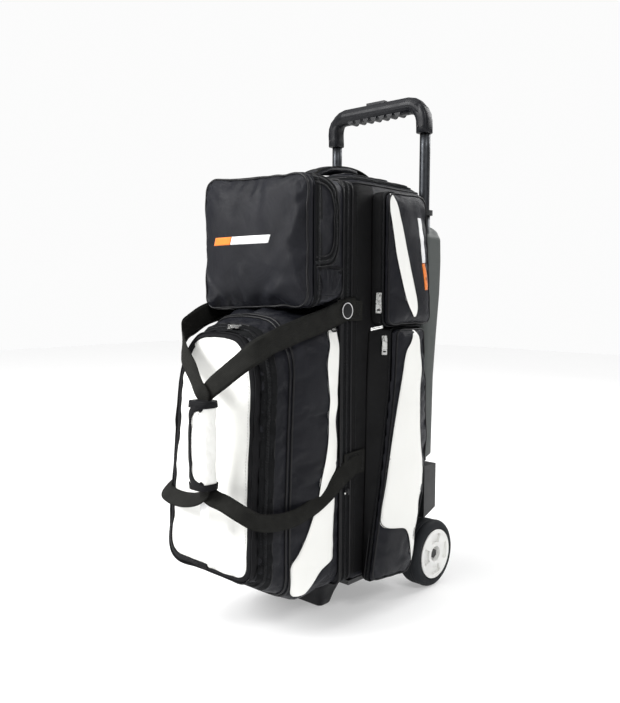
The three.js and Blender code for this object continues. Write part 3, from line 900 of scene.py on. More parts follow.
def main_zip():
    ring = level(outline(frame_corners(116.2, 68.8, 743.2), 16, 420), "y", -238)
    outs = ring_out(ring, "y")
    band = strip("main_zip_band_cloth", ring, outs, 23.4, 1.4, ZIP_TAPE, True)
    finish_piece(band, "bag", ["main_zip_band"])
    zip_teeth("main_zip_teeth", ring + outs * 0.6, outs, "bag", True)
    for name, y in (("rear", -226.8), ("front", -249.6)):
        cord = ring + outs * 1.0
        cord[:, 1] = y
        piping(f"main_piping_{name}", cord, 1.9)
    for name, shift in (("rear", 5.2), ("front", -5.2)):
        line = ring + outs * 0.8
        line[:, 1] += shift
        stitches(f"main_zip_stitches_{name}", line, outs, "bag", closed=True)


def door_panel():
    corners = frame_corners(118, 66, 745)
    rings = [ring_at(corners, pull, 17, 220, "y", y)
             for y, pull in ((-250.2, 1.6), (-251, 0.3), (-253, 0.3), (-253.9, 1.6))]
    made = new_object("door_panel", *capped(rings, "y", (0.9, 0.6, 0.3)), NYLON)
    finish_piece(made, "bag", ["door_board"])
    piping("door_piping", level(outline(corners, 17, 300), "y", -254.2), 2.0)


# ---- shoe compartment ----

DOOR_FRONT = 254.3  # how far the door's face stands in front of the axle
SHOE_Y = [-254.3, -345, -378, -412, -430]
SHOE_HALF = [117, 110, 106, 102, 93]
SHOE_FLARE = [0, 2, 4, 7, 10]
SHOE_LOW = [66, 62, 80, 100, 112]
SHOE_HIGH = [545, 532, 520, 506, 498]
SHOE_DEPTH = 175.7
SHOE_LEAN = 25
LEAN_FOOT, LEAN_RISE, LEAN_CURVE = 150, 345, 1.4


def lean_share(points):
    """How far each point leans back, from 0 at the foot to 1 at the top."""
    return np.clip((points[:, 2] - LEAN_FOOT) / LEAN_RISE, 0, 1) ** LEAN_CURVE


def leaning(points):
    """Leans the shoe compartment back, more towards its top and towards its zip line."""
    points = np.array(points, dtype=float)
    share = np.clip((-points[:, 1] - DOOR_FRONT) / SHOE_DEPTH, 0, 1)
    points[:, 1] += SHOE_LEAN * share * lean_share(points)
    return points


def upright(points):
    """The same points before they leaned."""
    back = SHOE_LEAN * lean_share(points)
    behind = (points[:, 1] + DOOR_FRONT * back / SHOE_DEPTH) / (1 - back / SHOE_DEPTH)
    found = points.copy()
    found[:, 1] = np.where(behind > -430, behind, points[:, 1] - back)
    return found


def shoe_ring(y, pull=0.0, count=240):
    half, flare, low, high = (
        np.interp(-y, [-v for v in SHOE_Y], row)
        for row in (SHOE_HALF, SHOE_FLARE, SHOE_LOW, SHOE_HIGH)
    )
    arch = np.clip((-y - DOOR_FRONT) / 120, 0, 1)
    ring = outline(shoe_corners(half - pull, flare, low + pull, high - pull, arch), 34, count)
    return leaning(level(ring, "y", y))


def shoe_corners(w, flare, low, high, arch=1):
    """The compartment's front outline; arch, from 0 to 1, rounds its top."""
    drop, across, crown = 46 + 16 * arch, w * (0.72 - 0.06 * arch), 2 + 7 * arch
    return [(-w - flare, low), (w + flare, low), (w, high - drop), (across, high - crown),
            (w * 0.3, high), (-w * 0.3, high), (-across, high - crown), (-w, high - drop)]


def shoe_cover():
    rings = []
    for y in np.linspace(-254.6, -429.6, 46):
        bulge = 1.6 * math.sin(math.pi * np.clip((-y - 254) / 112, 0, 1)) if -y < 366 else 0
        rings.append(shoe_ring(y, 0.8 - bulge))
    made = new_object("shoe_cover", *capped(rings, "y", (0.9, 0.7, 0.45, 0.2)), NYLON)
    remeshed(made, 5)

    def held(points):
        flat = upright(points)
        pins = near(flat, "y", -254.5, 3)
        for seam in (-368, -376, -404, -430):
            pins = np.maximum(pins, near(flat, "y", seam, 3))
        return pins

    billow(made, held, 3.0, 0.035, 7)
    rumple(made, 1.2, (0.012, 0.02, 0.014), 3, lambda p: upright(p)[:, 1] > -362)
    subdivided(made)
    for sign in (-1, 1):
        creased(made, scattered(30 + sign, 26, (sign * 113, -352, 90), (sign * 116, -266, 500),
                                (0, 1, 0.35), 0.5, 46, 8, 1.1))
    creased(made, scattered(33, 14, (-90, -350, 533), (90, -262, 540), (1, 0.8, 0), 0.5, 60, 8, 1.8))
    return finish_piece(made, "bag", ["shoe_compartment"])


def shoe_trim():
    for name, y, radius in (("outer", -368, 1.9), ("inner", -376, 1.9), ("zip", -404.5, 1.4)):
        piping(f"shoe_piping_{name}", laid(SHOE_TREE, shoe_ring(y), radius * 0.5)[0], radius)
    places, outs = laid(SHOE_TREE, shoe_ring(-417.5), 0.5)
    zip_line("shoe_zip", places, outs, 25, 0.8, True, 0.3)
    for name, y in (("front", -424.5), ("rear", -410.5)):
        places, outs = laid(SHOE_TREE, shoe_ring(y), 0.9)
        stitches(f"shoe_zip_stitches_{name}", places, outs, "bag", closed=True)


DOOR_PATCH_FRONT = [
    (-276, 503), (-279, 478), (-291, 450), (-288, 415), (-283, 383), (-286, 340), (-295, 289), (-308, 238),
    (-328, 189), (-349, 148), (-366, 128), (-366, 110), (-362, 84), (-352, 74),
]
DOOR_PATCH_REAR = [
    (-257, 503), (-257, 478), (-257, 450), (-259, 415), (-261, 383), (-262, 340), (-263, 289), (-266, 238),
    (-272, 189), (-273, 148), (-274, 128), (-278, 118), (-306, 106), (-334, 74),
]
FLAME_FRONT = [
    (-92, 496), (-106, 473), (-120, 456), (-128, 400), (-146, 326), (-167, 217), (-179, 160), (-140, 148),
    (-115, 140), (-100, 110), (-90, 76),
]
FLAME_REAR = [
    (-88, 496), (-73, 474), (-72, 433), (-75, 390), (-76, 317), (-56, 240), (-62, 190), (-67, 158),
    (-71, 132), (-77, 100), (-84, 70),
]
LEAF_FRONT = [(-158, 728), (-164, 712), (-158, 676), (-150, 627), (-139, 585), (-120, 542), (-97, 518)]
LEAF_REAR = [(-155, 728), (-147, 710), (-136, 676), (-124, 627), (-108, 585), (-90, 542), (-91, 519)]


def side_patch(name, tree, front, rear, sign, body, lift=1.2):
    """A coated appliqué on the bag's flank between a front and a rear edge, each (y, z) pairs."""
    edges = [smooth_keys(edge, 12) for edge in (front, rear)]
    rows = []
    for a, b in zip(*edges):
        rows.append([(sign * OUTSIDE, *(a + (b - a) * t)) for t in np.linspace(0, 1, 14)])
    points, faces, rim, outs = patch_data(tree, rows, (-sign, 0, 0), lift)
    made = new_object(name, points, faces, WHITE_VINYL)
    finish_piece(made, body)
    rim, _ = eased(rim, outs)
    piping(f"{name}_edge", rim[::2], 0.7, body, True, THREAD, 6)


def shoe_flap():
    corners = shoe_corners(93, 10, 112, 498)
    rings = [leaning(ring_at(corners, pull, 34, 220, "y", -430.3 - rise))
             for rise, pull in ((0, 2.0), (2.5, 0.6), (6, 0.6), (9, 2.5), (11.5, 7), (13.5, 15), (15.5, 30))]
    made = new_object("shoe_flap_panel", *capped(rings, "y", (0.8, 0.6, 0.4, 0.2), -1.5), WHITE_VINYL)
    remeshed(made, 5)
    billow(made, lambda p: near(upright(p), "y", -430.3, 2.5), 2.0, 0.012, 4)
    rumple(made, 0.5, (0.01, 0.02, 0.007), 41, lambda p: upright(p)[:, 1] < -441)
    subdivided(made)
    finish_piece(made, "bag", ["shoe_flap"])
    tree = surface(made)
    for name, pull, y, width in (("hem", -0.3, -434, 14), ("binding", 4.6, -442, 10)):
        ring = leaning(ring_at(corners, pull, 33, 260, "y", y))
        places, outs = eased(*laid(tree, ring, 0.7))
        tape(f"shoe_flap_{name}", places, outs, width, 2.0, True, BINDING)
    ring = leaning(ring_at(corners, 10, 32, 260, "y", -446))
    side = ring[(ring[:, 0] < -52) | ((ring[:, 0] < 4) & (ring[:, 2] < 200))]
    side = side[np.argsort(-np.arctan2(side[:, 2] - 300, side[:, 0] - 60) % (2 * math.pi))]
    places, outs = eased(*laid(tree, side, 0.9), closed=False)
    tape("shoe_flap_binding_side", places, outs, 11, 2.0, False, BINDING)
    ring = leaning(ring_at(corners, 12.5, 28, 260, "y", -446))
    places, outs = laid(tree, ring, 0.15)
    stitches("shoe_flap_stitches", places, outs, "bag", WHITE_THREAD, True)


# ---- accessory pocket ----

ACCESSORY_DEPTH = 71.7


def accessory_ring(y, pull, radius=26, count=260):
    """The pocket's front outline: taller towards its zip, and sagging towards the right."""
    share = np.clip((-y - DOOR_FRONT) / ACCESSORY_DEPTH, 0, 1)
    corners = frame_corners(124, 549 - 9 * share, 741 + 11 * share)
    ring = ring_at(corners, pull, radius, count, "y", y)
    high = np.clip((ring[:, 2] - 546) / 190, 0, 1)
    sag = 4.5 + 5 * np.clip((100 - ring[:, 0]) / 160, 0, 1)
    ring[:, 2] -= share * (0.035 * high * ring[:, 0] + sag * (1 - high))
    return ring


def accessory_case():
    outer = []
    for y in np.linspace(-254.6, -325.6, 20):
        bulge = 1.5 * math.sin(math.pi * (-y - 254) / 72)
        outer.append(accessory_ring(y, 0.8 - bulge))
    inner = [accessory_ring(y, 3.6, 23) for y in np.linspace(-326.2, -258, 8)]
    made = new_object("accessory_case_cloth", *capped(outer + inner, "y", (0.9, 0.6, 0.3)), NYLON)
    line_inside(made, lambda c: np.all(np.abs(c[[0, 2]] - [0, 646 - 0.03 * c[0]]) < [121, 96]))
    rumple(made, 1.3, (0.022, 0.03, 0.022), 8, lambda p: (p[:, 1] > -318) & (p[:, 1] < -262))
    for sign in (-1, 1):
        creased(made, scattered(50 + sign, 10, (sign * 123, -318, 560), (sign * 124, -262, 735),
                                (0, 0.4, 1), 0.4, 44, 6, 1.5))
    finish_piece(made, "bag", ["accessory_case"])
    tree = surface(made)
    for side, sign in SIDES:
        accessory_side(tree, side, sign)
    piping("accessory_piping_rear", accessory_ring(-257.5, -0.3, 26, 300), 1.7)
    ring = accessory_ring(-317, 0.2, 26, 300)
    zip_line("accessory_zip", ring, ring_out(ring, "y"), 17, 0.8, True, 0.2)


def line_inside(made, inside, material=None):
    """Gives the faces whose middle is inside a region the lining, or another cloth."""
    made.data.materials.append(material or LINING)
    for polygon in made.data.polygons:
        middle = np.array(polygon.center) / MM
        middle[1] -= AXLE_Y / MM
        if inside(middle):
            polygon.material_index = 1


def accessory_side(tree, side, sign):
    """On the pocket's flank: an arched zip, and a small gathered pocket under it."""
    arch = [(-324, 741), (-302, 737), (-284, 722), (-276, 695), (-275, 655), (-279, 628),
            (-292, 612), (-324, 607)]
    for name, grow, radius in (("outer", 1.11, 1.7), ("inner", 0.87, 1.4)):
        keys = [(-324 + (y + 324) * grow, 674 + (z - 674) * grow) for y, z in arch]
        line = [(sign * OUTSIDE, y, z) for y, z in smooth_path(keys, 90)]
        places, _ = cast(tree, line, (-sign, 0, 0), radius * 0.6)
        piping(f"accessory_side_piping_{name}_{side}", places, radius, closed=False)
    line = [(sign * OUTSIDE, y, z) for y, z in smooth_path(arch, 90)]
    places, outs = cast(tree, line, (-sign, 0, 0), 0.3)
    zip_line("accessory_side", places, outs, 13, 0.8, False, 0.2, f"_{side}")
    front = -322 if sign > 0 else -307  # the left one stops short of the zip slider's run
    rows = [[(sign * OUTSIDE, y, z) for y in np.linspace(front, -262, 22)]
            for z in np.linspace(556, 601, 16)]
    points, faces, _, _ = patch_data(tree, rows, (-sign, 0, 0), 2.6, 1.2)
    made = new_object(f"accessory_small_pocket_{side}", points, faces, NYLON)
    subdivided(made)
    creased(made, [((sign * 126, y, 600), (sign * 126, y + lean, 562), 4, 1.8)
                   for y, lean in ((-314, 12), (-302, 4), (-290, -3), (-278, -6), (-269, -14))])
    finish_piece(made, "bag")
    line = [(sign * OUTSIDE, y, 600.5) for y in np.linspace(front, -262, 30)]
    places, outs = cast(surface(made), line, (-sign, 0, 0), 0.3)
    tape(f"accessory_small_pocket_hem_{side}", places, outs, 7, 1.2, False, BINDING)


ACCESSORY_FOLDS = [
    ((-60, -346, 742), (-92, -348, 640), 14, 2.0), ((0, -346, 746), (-25, -352, 665), 12, 1.8),
    ((52, -346, 746), (40, -352, 655), 11, 1.8), ((120, -344, 700), (66, -352, 596), 13, 3.0),
    ((114, -344, 640), (58, -350, 556), 11, 2.6), ((100, -346, 580), (24, -350, 548), 10, 2.4),
    ((-114, -345, 604), (-52, -350, 556), 11, 2.4), ((-118, -345, 690), (-96, -349, 606), 10, 2.0),
    ((20, -352, 624), (-44, -352, 560), 12, 1.8), ((-24, -352, 606), (8, -350, 546), 10, 1.8),
    ((96, -348, 736), (112, -346, 650), 9, 1.8), ((-100, -346, 735), (-60, -350, 700), 9, -1.6),
]


def accessory_flap():
    rings = [accessory_ring(-326.6 - rise, pull)
             for rise, pull in ((0, 1.5), (3, 0.3), (8, 0.3), (12, 2), (15, 6), (17.5, 13), (19.5, 24))]
    data = capped(rings, "y", (0.85, 0.6, 0.3), -6, (0.85, 0.7, 0.5, 0.3, 0.12))
    made = new_object("accessory_flap_cushion", *data, NYLON)
    remeshed(made, 4.5)
    billow(made, lambda p: near(p, "y", -326.6, 3), 4.0, 0.03, 7)
    rumple(made, 1.6, (0.018, 0.02, 0.012), 12, lambda p: p[:, 1] < -332)
    subdivided(made)
    creased(made, ACCESSORY_FOLDS)
    line_inside(made, lambda c: c[1] > -327.4)
    finish_piece(made, "accessory_lid", ["accessory_flap"])
    tree = surface(made)
    ring = accessory_ring(-340, 1.2, 26, 300)
    places, _ = eased(*laid(tree, ring, 0.9))
    piping("accessory_flap_piping", places, 1.9, "accessory_lid")
    emblem("front_emblem", tree, (0, 1, 0), "accessory_lid",
           lambda u, v: (-80 + 132 * u + 5 * v, -420, 639 + 13 * v), 0.33)


def emblem(name, tree, inwards, body, place, split):
    """A plain two-colour embroidered bar without lettering."""
    parts = (("first", EMBLEM_ORANGE, 0, split), ("second", EMBLEM_WHITE, split, 1))
    for part, colour, start, end in parts:
        rows = [[place(u, v) for u in np.linspace(start + 0.004, end - 0.004, 24)]
                for v in np.linspace(0, 1, 6)]
        points, faces, _, _ = patch_data(tree, rows, inwards, 0.5, 0.8)
        finish_piece(new_object(f"{name}_{part}", points, faces, colour), body)


EMBLEM_ORANGE = woven("emblem_orange", (0.75, 0.2, 0.03), 0.0007, 0.55, 0.2)
EMBLEM_WHITE = woven("emblem_white", (0.8, 0.8, 0.8), 0.0007, 0.55, 0.2)

# ---- side pockets ----

POCKETS = {
    "lower": (
        10,
        [(-194, 60), (-92, 56), (-78, 74), (-72, 126), (-48, 192), (-38, 300), (-52, 499),
         (-182, 499), (-187, 400), (-190, 218)],
        [(-204, 66), (-97, 54), (-78, 74), (-72, 126), (-48, 192), (-38, 300), (-52, 499),
         (-138, 499), (-141, 400), (-172, 218)],
    ),
    "upper": (
        18,
        [(-176, 504), (-34, 504), (-40, 620), (-56, 732), (-176, 732)],
        [(-166, 504), (-34, 504), (-40, 620), (-56, 732), (-166, 732)],
    ),
}


def pocket_ring(place, share, pull, x, count=260):
    radius, body, face = (np.array(shape, dtype=float) for shape in POCKETS[place])
    mixed = [tuple(p) for p in body + (face - body) * share]
    return ring_at(mixed, pull, float(radius), count, "x", x)


def side_pocket(place, side, sign):
    name = f"{place}_pocket_pan_{side}"
    outer = []
    for t in np.linspace(0, 1, 9):
        bulge = 1.4 * math.sin(math.pi * t)
        outer.append(pocket_ring(place, 0.85 * t, 0.8 - bulge, 118.6 + 19.0 * t))
    inner = [pocket_ring(place, 0.1 + 0.75 * t, 3.2, 121.5 + 16.4 * t) for t in np.linspace(1, 0, 5)]
    points, faces = capped(outer + inner, "x", (0.9, 0.6, 0.3))
    # Painted shade: the whole pan is made of the near-black cloth, which paints in the shade on the pocket's
    # walls.
    made = new_object(f"{name}_cloth", points * [sign, 1, 1], faces, PAINTED_SHADE_CLOTH)
    finish_piece(made, "bag", [name])
    ring = pocket_ring(place, 0.87, -0.2, 136.2, 320)
    flip = np.array([sign, 1, 1])
    outs = ring_out(ring, "x") * flip
    zip_line(f"{place}_pocket_zip", ring * flip, outs, 8, 0.7, True, 0, f"_{side}")
    ring = pocket_ring(place, 0.75, -0.2, 130.5, 320)
    piping(f"{place}_pocket_piping_inner_{side}", ring * flip, 1.5)


# How many folds, the lowest and highest (y, z) of their middles, and their height.
FLAP_FOLDS = {"upper": (14, (-155, 520), (-50, 722), 0.8), "lower": (22, (-150, 70), (-55, 490), 1.4)}


def side_flap(place, side, sign):
    body = f"{place}_lid_{side}"
    steps = ((0, 0.85, 1.5), (2, 0.9, 0.4), (5, 1, 0.4), (7.5, 1, 1.5), (9.5, 1, 4.5), (11, 1, 10))
    rings = [pocket_ring(place, share, pull, 138.4 + rise) for rise, share, pull in steps]
    points, faces = capped(rings, "x", (0.85, 0.6, 0.3), 2.5, (0.85, 0.65, 0.45, 0.25))
    made = new_object(f"{place}_pocket_flap_cushion_{side}", points * [sign, 1, 1], faces, NYLON)
    remeshed(made, 4.5)
    billow(made, lambda p: near(p, "x", sign * 138.4, 2.5), 3.5, 0.02, 7)
    rumple(made, 1.3, (0.01, 0.02, 0.012), 21 + sign, lambda p: np.abs(p[:, 0]) > 143)
    subdivided(made)
    count, low, high, height = FLAP_FOLDS[place]
    creased(made, scattered(71 + sign + low[1], count, (sign * 149, *low), (sign * 152, *high),
                            (0, 0.5, 1), 0.5, 60, 9, height))
    line_inside(made, lambda c: abs(c[0]) < 139)
    finish_piece(made, body, [f"{place}_pocket_flap_{side}"])
    tree = surface(made)
    ring = pocket_ring(place, 1, 1.2, 148, 300) * np.array([sign, 1, 1])
    places, _ = eased(*laid(tree, ring, 0.8))
    piping(f"{place}_pocket_flap_piping_{side}", places, 1.7, body)
    if place == "upper":
        side_patch(f"leaf_{side}", tree, LEAF_FRONT, LEAF_REAR, sign, body)
        emblem(f"side_emblem_{side}", tree, (-sign, 0, 0), body,
               lambda u, v: (sign * 220, -54 - 26 * u - 13 * v, 565 + 127 * u), 0.38)
    else:
        side_patch(f"flame_{side}", tree, FLAME_FRONT, FLAME_REAR, sign, body)


# ---- straps and handles ----

RIGHT_STRAP = [
    (120.6, -218, 536), (121.2, -250, 531), (119.5, -295, 517), (115, -360, 500),
    (110, -420, 481), (100, -456, 459), (80, -476, 436), (60, -483.5, 419), (51, -485.6, 408),
    (50, -485.6, 400), (50, -485.6, 340), (50, -485.6, 269), (52, -485.6, 260), (66, -485, 254),
    (86, -481, 249),
    (109, -470, 236), (119.5, -446, 220), (121, -408, 211), (121.5, -366, 210), (122, -325, 219),
    (123, -288, 237), (122.5, -250, 259), (120.8, -206, 272),
]
LEFT_STRAP = [
    (-120.6, -218, 536), (-121.2, -250, 534), (-119.5, -296, 531), (-113, -345, 522),
    (-102, -384, 508), (-82, -420, 495), (-46, -450, 465), (2, -471, 438), (34, -487, 419),
    (49, -489.6, 408), (50, -489.6, 400), (50, -489.6, 340), (50, -489.6, 270),
    (48, -489.6, 258), (30, -488.5, 247), (-8, -482, 238), (-62, -464, 231), (-100, -445, 232),
    (-115, -411, 248), (-120.5, -368, 268), (-121.5, -300, 272), (-122, -245, 270), (-120.8, -206, 268),
]


def ribbon(name, path, outward, widths, thickness, material):
    """Webbing whose width varies along its path, as where it is gathered."""
    made = strip(name, path, outward, 2.0, thickness, material)
    section = flat_section(2.0, thickness)
    _, _, sides = frames_along(np.array(path), False, np.array(outward))
    points = vertices(made)
    count = len(section)
    for r, (centre, side) in enumerate(zip(path, sides)):
        ring = points[r * count:(r + 1) * count]
        across = (ring - centre) @ side
        points[r * count:(r + 1) * count] = ring + np.outer(across * (widths[r] / 2 - 1), side)
    for row, end in ((-2, 0), (-1, len(path) - 1)):
        points[row] = path[end]
    set_vertices(made, points)
    for loop in made.data.uv_layers["strip"].data:
        loop.uv[0] *= 19
    return made


WRAP_MIDDLE, WRAP_HALF = 334, 67  # height of the grip wrap's middle, and half its length


def carry_strap(name, keys):
    path = smooth_path(keys, 240)
    front = np.clip((-path[:, 1] - 395) / 75, 0, 1)
    front = front * front * (3 - 2 * front)
    away = np.clip(np.abs(path[:, 2] - WRAP_MIDDLE) - WRAP_HALF, 0, None)
    low = (path[:, 2] < WRAP_MIDDLE) * np.clip((-path[:, 1] - 225) / 60, 0, 1)
    gathered = np.exp(-away / 45) * (path[:, 1] < -395)
    twist = low * np.exp(-((away - 22) / 26) ** 2) * 0.9
    outward = np.stack([np.sign(path[:, 0]) * (1 - front), -front - 0.001, twist], axis=1)
    widths = 38 - 12 * gathered - 11 * low * (1 - gathered)
    made = ribbon(name, path, outward, widths, 2.2, WEBBING)
    return finish_piece(made, "bag", [name])


def box_stitched_patch(name, x, y0, y1, z0, z1, lean):
    """A folded strap end sewn down flat, with its stitched square."""
    sign = math.copysign(1, x)
    middle = (y0 + y1) / 2
    under = np.array([(x, y, z0 + (z1 - z0) * v + lean * (y - middle))
                      for v in np.linspace(0, 1, 8) for y in np.linspace(y0, y1, 8)])
    top = under + [sign * 1.6, 0, 0]
    made = new_object(name, np.vstack([top, under]), slab_faces(8, 8)[0], WEBBING, False)
    layer = made.data.uv_layers.new(name="strip")
    for loop, corner in zip(made.data.loops, layer.data):
        place = made.data.vertices[loop.vertex_index].co
        corner.uv = (place.z, place.y)
    finish_piece(made, "bag")
    square = [(0.12, 0.14), (0.88, 0.14), (0.88, 0.86), (0.12, 0.86), (0.12, 0.14), (0.88, 0.86),
              (0.88, 0.14), (0.12, 0.86)]
    line = []
    for u, v in square:
        y = y0 + (y1 - y0) * u
        line.append((x + sign * 1.7, y, z0 + (z1 - z0) * v + lean * (y - middle)))
    line = even(line, 160)
    stitches(f"{name}_stitches", line, np.tile([sign, 0, 0], (160, 1)), "bag")


def grip_wrap():
    corners = [(30, -507.5), (70, -507.5), (70, -474.5), (30, -474.5)]
    rings = [ring_at(corners, pull, 12, 96, "z", z)
             for z, pull in [(267, 2.5), (269, 1.2)] + [(z, 0.9) for z in np.linspace(273, 395, 32)]
             + [(399, 1.2), (401, 2.5)]]
    made = new_object("grip_wrap_padding", *capped(rings, "z", (0.7, 0.4)), WHITE_VINYL)
    billow(made, lambda p: np.clip(1.5 - (WRAP_HALF - np.abs(p[:, 2] - WRAP_MIDDLE)) / 8, 0, 1),
           2, 0.012, 1.6)
    rumple(made, 0.3, (0.02, 0.02, 0.02), 44)
    subdivided(made)
    line_inside(made, lambda c: abs(c[2] - WRAP_MIDDLE) > 65.3, PIPING)
    finish_piece(made, "bag", ["grip_wrap"])
    tree = surface(made)
    for name, z in (("top", 395.5), ("low", 272.5)):
        places, outs = eased(*laid(tree, ring_at(corners, 0.2, 12, 96, "z", z), 0.9))
        tape(f"wrap_binding_{name}", places, outs, 10, 2.2, True, BINDING)
    keys = [(72, 393), (60, 393), (50, 391), (43, 385), (39.5, 373), (38.5, 350), (38.5, 318),
            (39.5, 295), (43, 283), (50, 277), (60, 275), (72, 275)]
    line = [(x, -600, z) for x, z in smooth_path(keys, 120)]
    places, outs = eased(*cast(tree, line, (0, 1, 0), 1.1), closed=False, rounds=40)
    tape("wrap_binding_edge", places, outs, 11, 2.2, False, BINDING)
    places, outs = cast(tree, [(58, -600, z) for z in np.linspace(280, 388, 40)], (0, 1, 0), 0.4)
    stitches("wrap_seam_stitches", places, outs, "bag", WHITE_THREAD)


TOP_HANDLE = [
    (0, -216, 752), (0, -200, 771), (0, -166, 784), (0, -119, 789),
    (0, -78, 785), (0, -47, 773), (0, -28, 754),
]


def top_handle():
    path = smooth_path(TOP_HANDLE, 90)
    made = strip("top_handle_webbing", path, np.tile([0, 0, 1.0], (90, 1)), 38, 2.6, WEBBING)
    finish_piece(made, "bag", ["top_handle"])
    rings = []
    turn = np.linspace(0, 2 * math.pi, 40, endpoint=False)
    thicks = np.interp(np.linspace(0, 1, 24), [0, 0.1, 0.5, 1], [3, 6.5, 7.5, 8.5])
    for y, thick in zip(np.linspace(-206, -93, 24), thicks):
        middle = np.interp(y, [-216, -200, -166, -119, -78], [752, 771, 784, 789, 785]) + 3 - thick
        across = np.sign(np.cos(turn)) * np.abs(np.cos(turn)) ** 0.6 * 22
        rings.append(np.stack([across, 0 * turn + y, middle + np.sin(turn) * thick], axis=1))
    sleeve = new_object("top_handle_sleeve", *capped(rings, "y", (0.8, 0.4), 1.5, None, -1.5), NYLON)
    subdivided(sleeve)
    finish_piece(sleeve, "bag")
    tree = surface(sleeve)
    for name, x in (("right", 19), ("left", -19)):
        places, outs = cast(tree, [(x, y, 900) for y in np.linspace(-200, -97, 50)], (0, 0, -1), 0.4)
        stitches(f"top_handle_stitches_{name}", places, outs, "bag")


# ---- hard parts ----

def back_cover():
    profile_z = [84, 90, 400, 480, 560, 620, 660, 675, 688]
    profile_y = [18, 21, 27, 35, 44.5, 47, 45, 40, 30]
    half_z = [84, 92, 226, 240, 252, 664, 678, 685, 688]
    half_x = [86, 92, 92, 108, 121, 121, 116, 108, 98]
    rings = []
    for z in np.concatenate([np.linspace(84, 92, 5), np.linspace(98, 220, 14), np.linspace(226, 254, 12),
                             np.linspace(262, 660, 44), np.linspace(664, 688, 12)]):
        half, deep = np.interp(z, half_z, half_x), np.interp(z, profile_z, profile_y)
        ring = outline([(-half, -13), (half, -13), (half, deep), (-half, deep)], 14, 200)
        groove = np.clip((z - 130) / 40, 0, 1) * np.clip((640 - z) / 40, 0, 1)
        for centre in (-52, 0, 52):
            dent = np.clip(1.6 - np.abs(ring[:, 0] - centre) / 13, 0, 1) * (ring[:, 1] > 5)
            ring[:, 1] -= 2.6 * groove * dent
        rings.append(level(ring, "z", z))
    made = new_object("back_cover", *capped(rings, "z", (0.8, 0.5)), GREY_PLASTIC)
    finish_piece(made, "bag", ["back_shell"])


TUBE_X = 107


def tubes(side, sign):
    parts = (("outer", "bag", 11.5, 240, 705), ("inner", "handle", 9.9, 430, 868))
    for name, body, radius, low, high in parts:
        path = [(sign * TUBE_X, 0, z) for z in np.linspace(low, high, 12)]
        made = new_object(f"{name}_tube_drawn_{side}", *sweep_data(path, circle(radius, 48)), TUBE_METAL)
        finish_piece(made, body, [f"{name}_tube_{side}"])


WHEEL_RADIUS = 63.5


def wheel(side, sign):
    tread = [(46.4, 103), (50, 102.2), (57, 101.6), (60, 103.5), (61.6, 107)]
    for x in (112, 118, 124, 130):
        tread += [(62.6, x - 1.2), (61.9, x - 0.7), (61.9, x + 0.7), (62.8, x + 1.2)]
    tread += [(63.4, 134), (62.8, 138), (61, 141.5), (57.5, 144), (52, 144.4), (46.4, 144.3)]
    rim = [(45.5, 144.5), (46.6, 145.2), (46.2, 146.2), (44.6, 146.4), (43.6, 145.4)]
    for name, profile, material, slot, stands_for in (
        ("tyre_tread", tread, TYRE_RUBBER, "tyre_rubber", [f"tyre_{side}"]),
        ("hub_rim", rim, WHITE_PLASTIC, "white_plastic", ()),
    ):
        points, faces = turned_data(profile, 120)
        placed = (points + [0, 0, WHEEL_RADIUS]) * [sign, 1, 1]
        made = new_object(f"{name}_{side}", placed, faces, material)
        finish_piece(made, f"wheel_{side}", stands_for)
    bevelled(f"hub_{side}", WHITE_PLASTIC, 1.2, 3)
    bevelled(f"axle_nut_{side}", BLACK_PLASTIC, 1.0, 3)
    bevelled(f"bearing_{side}", STEEL, 0.4)


def hard_parts():
    for side, sign in SIDES:
        wheel(side, sign)
        tubes(side, sign)
        grip_leg(side, sign)
        bevelled(f"wheel_bracket_{side}", BLACK_PLASTIC, 2.5, 3)
        bevelled(f"tube_collar_{side}", BLACK_PLASTIC, 1.5, 3)
        for place in ("upper", "lower"):
            for part in ("slider", "pull"):
                bevelled(f"{place}_pocket_zip_{side}_{part}", NICKEL, 0.3)
    bevelled("main_zip_slider", COIL, 0.3)
    for node in ("accessory_zip_slider", "accessory_zip_pull", "shoe_zip_slider", "shoe_zip_pull"):
        bevelled(node, NICKEL, 0.3)
    bevelled("axle", STEEL, 0.5)
    bevelled("base_board", BLACK_PLASTIC, 1.5)
    for node in ("ball_cup_bottom", "ball_cup_middle", "ball_cup_top"):
        bevelled(node, FOAM, 1)
    bevelled("grip_lower", SOFT_BLACK, 3, 3)
    bevelled("grip_upper", SOFT_BLACK, 2, 3)
    bevelled("release_button", SOFT_BLACK, 2.5, 3)


def grip_leg(side, sign):
    """A squarish shell round the foot of the grip's leg, running into its corner."""
    rings = []
    round_ring = circle(1, 48)
    square = np.sign(round_ring) * np.abs(round_ring) ** 0.6
    for inwards, z, y, wide, deep, tilt in (
        (0, 856.4, -2.8, 10.6, 12.2, 0), (0, 856.6, -2.8, 12.0, 13.6, 0),
        (0, 857.6, -2.8, 12.9, 14.4, 0), (0, 868, -3, 12.9, 14.4, 0), (0, 880, -4, 13.0, 14.4, 0),
        (1.5, 889.3, -5, 13.2, 14.2, 0.31), (5.7, 897.6, -6, 13.0, 13.6, 0.63),
        (12.4, 904.3, -7, 12.0, 12.4, 0.94),
    ):
        out = square[:, 0] * wide
        rings.append(np.stack([sign * (TUBE_X - inwards + out * math.cos(tilt)), y + square[:, 1] * deep,
                               z + out * math.sin(tilt)], axis=1))
    made = new_object(f"grip_leg_{side}", *loft_data(rings), SOFT_BLACK)
    finish_piece(made, "handle")


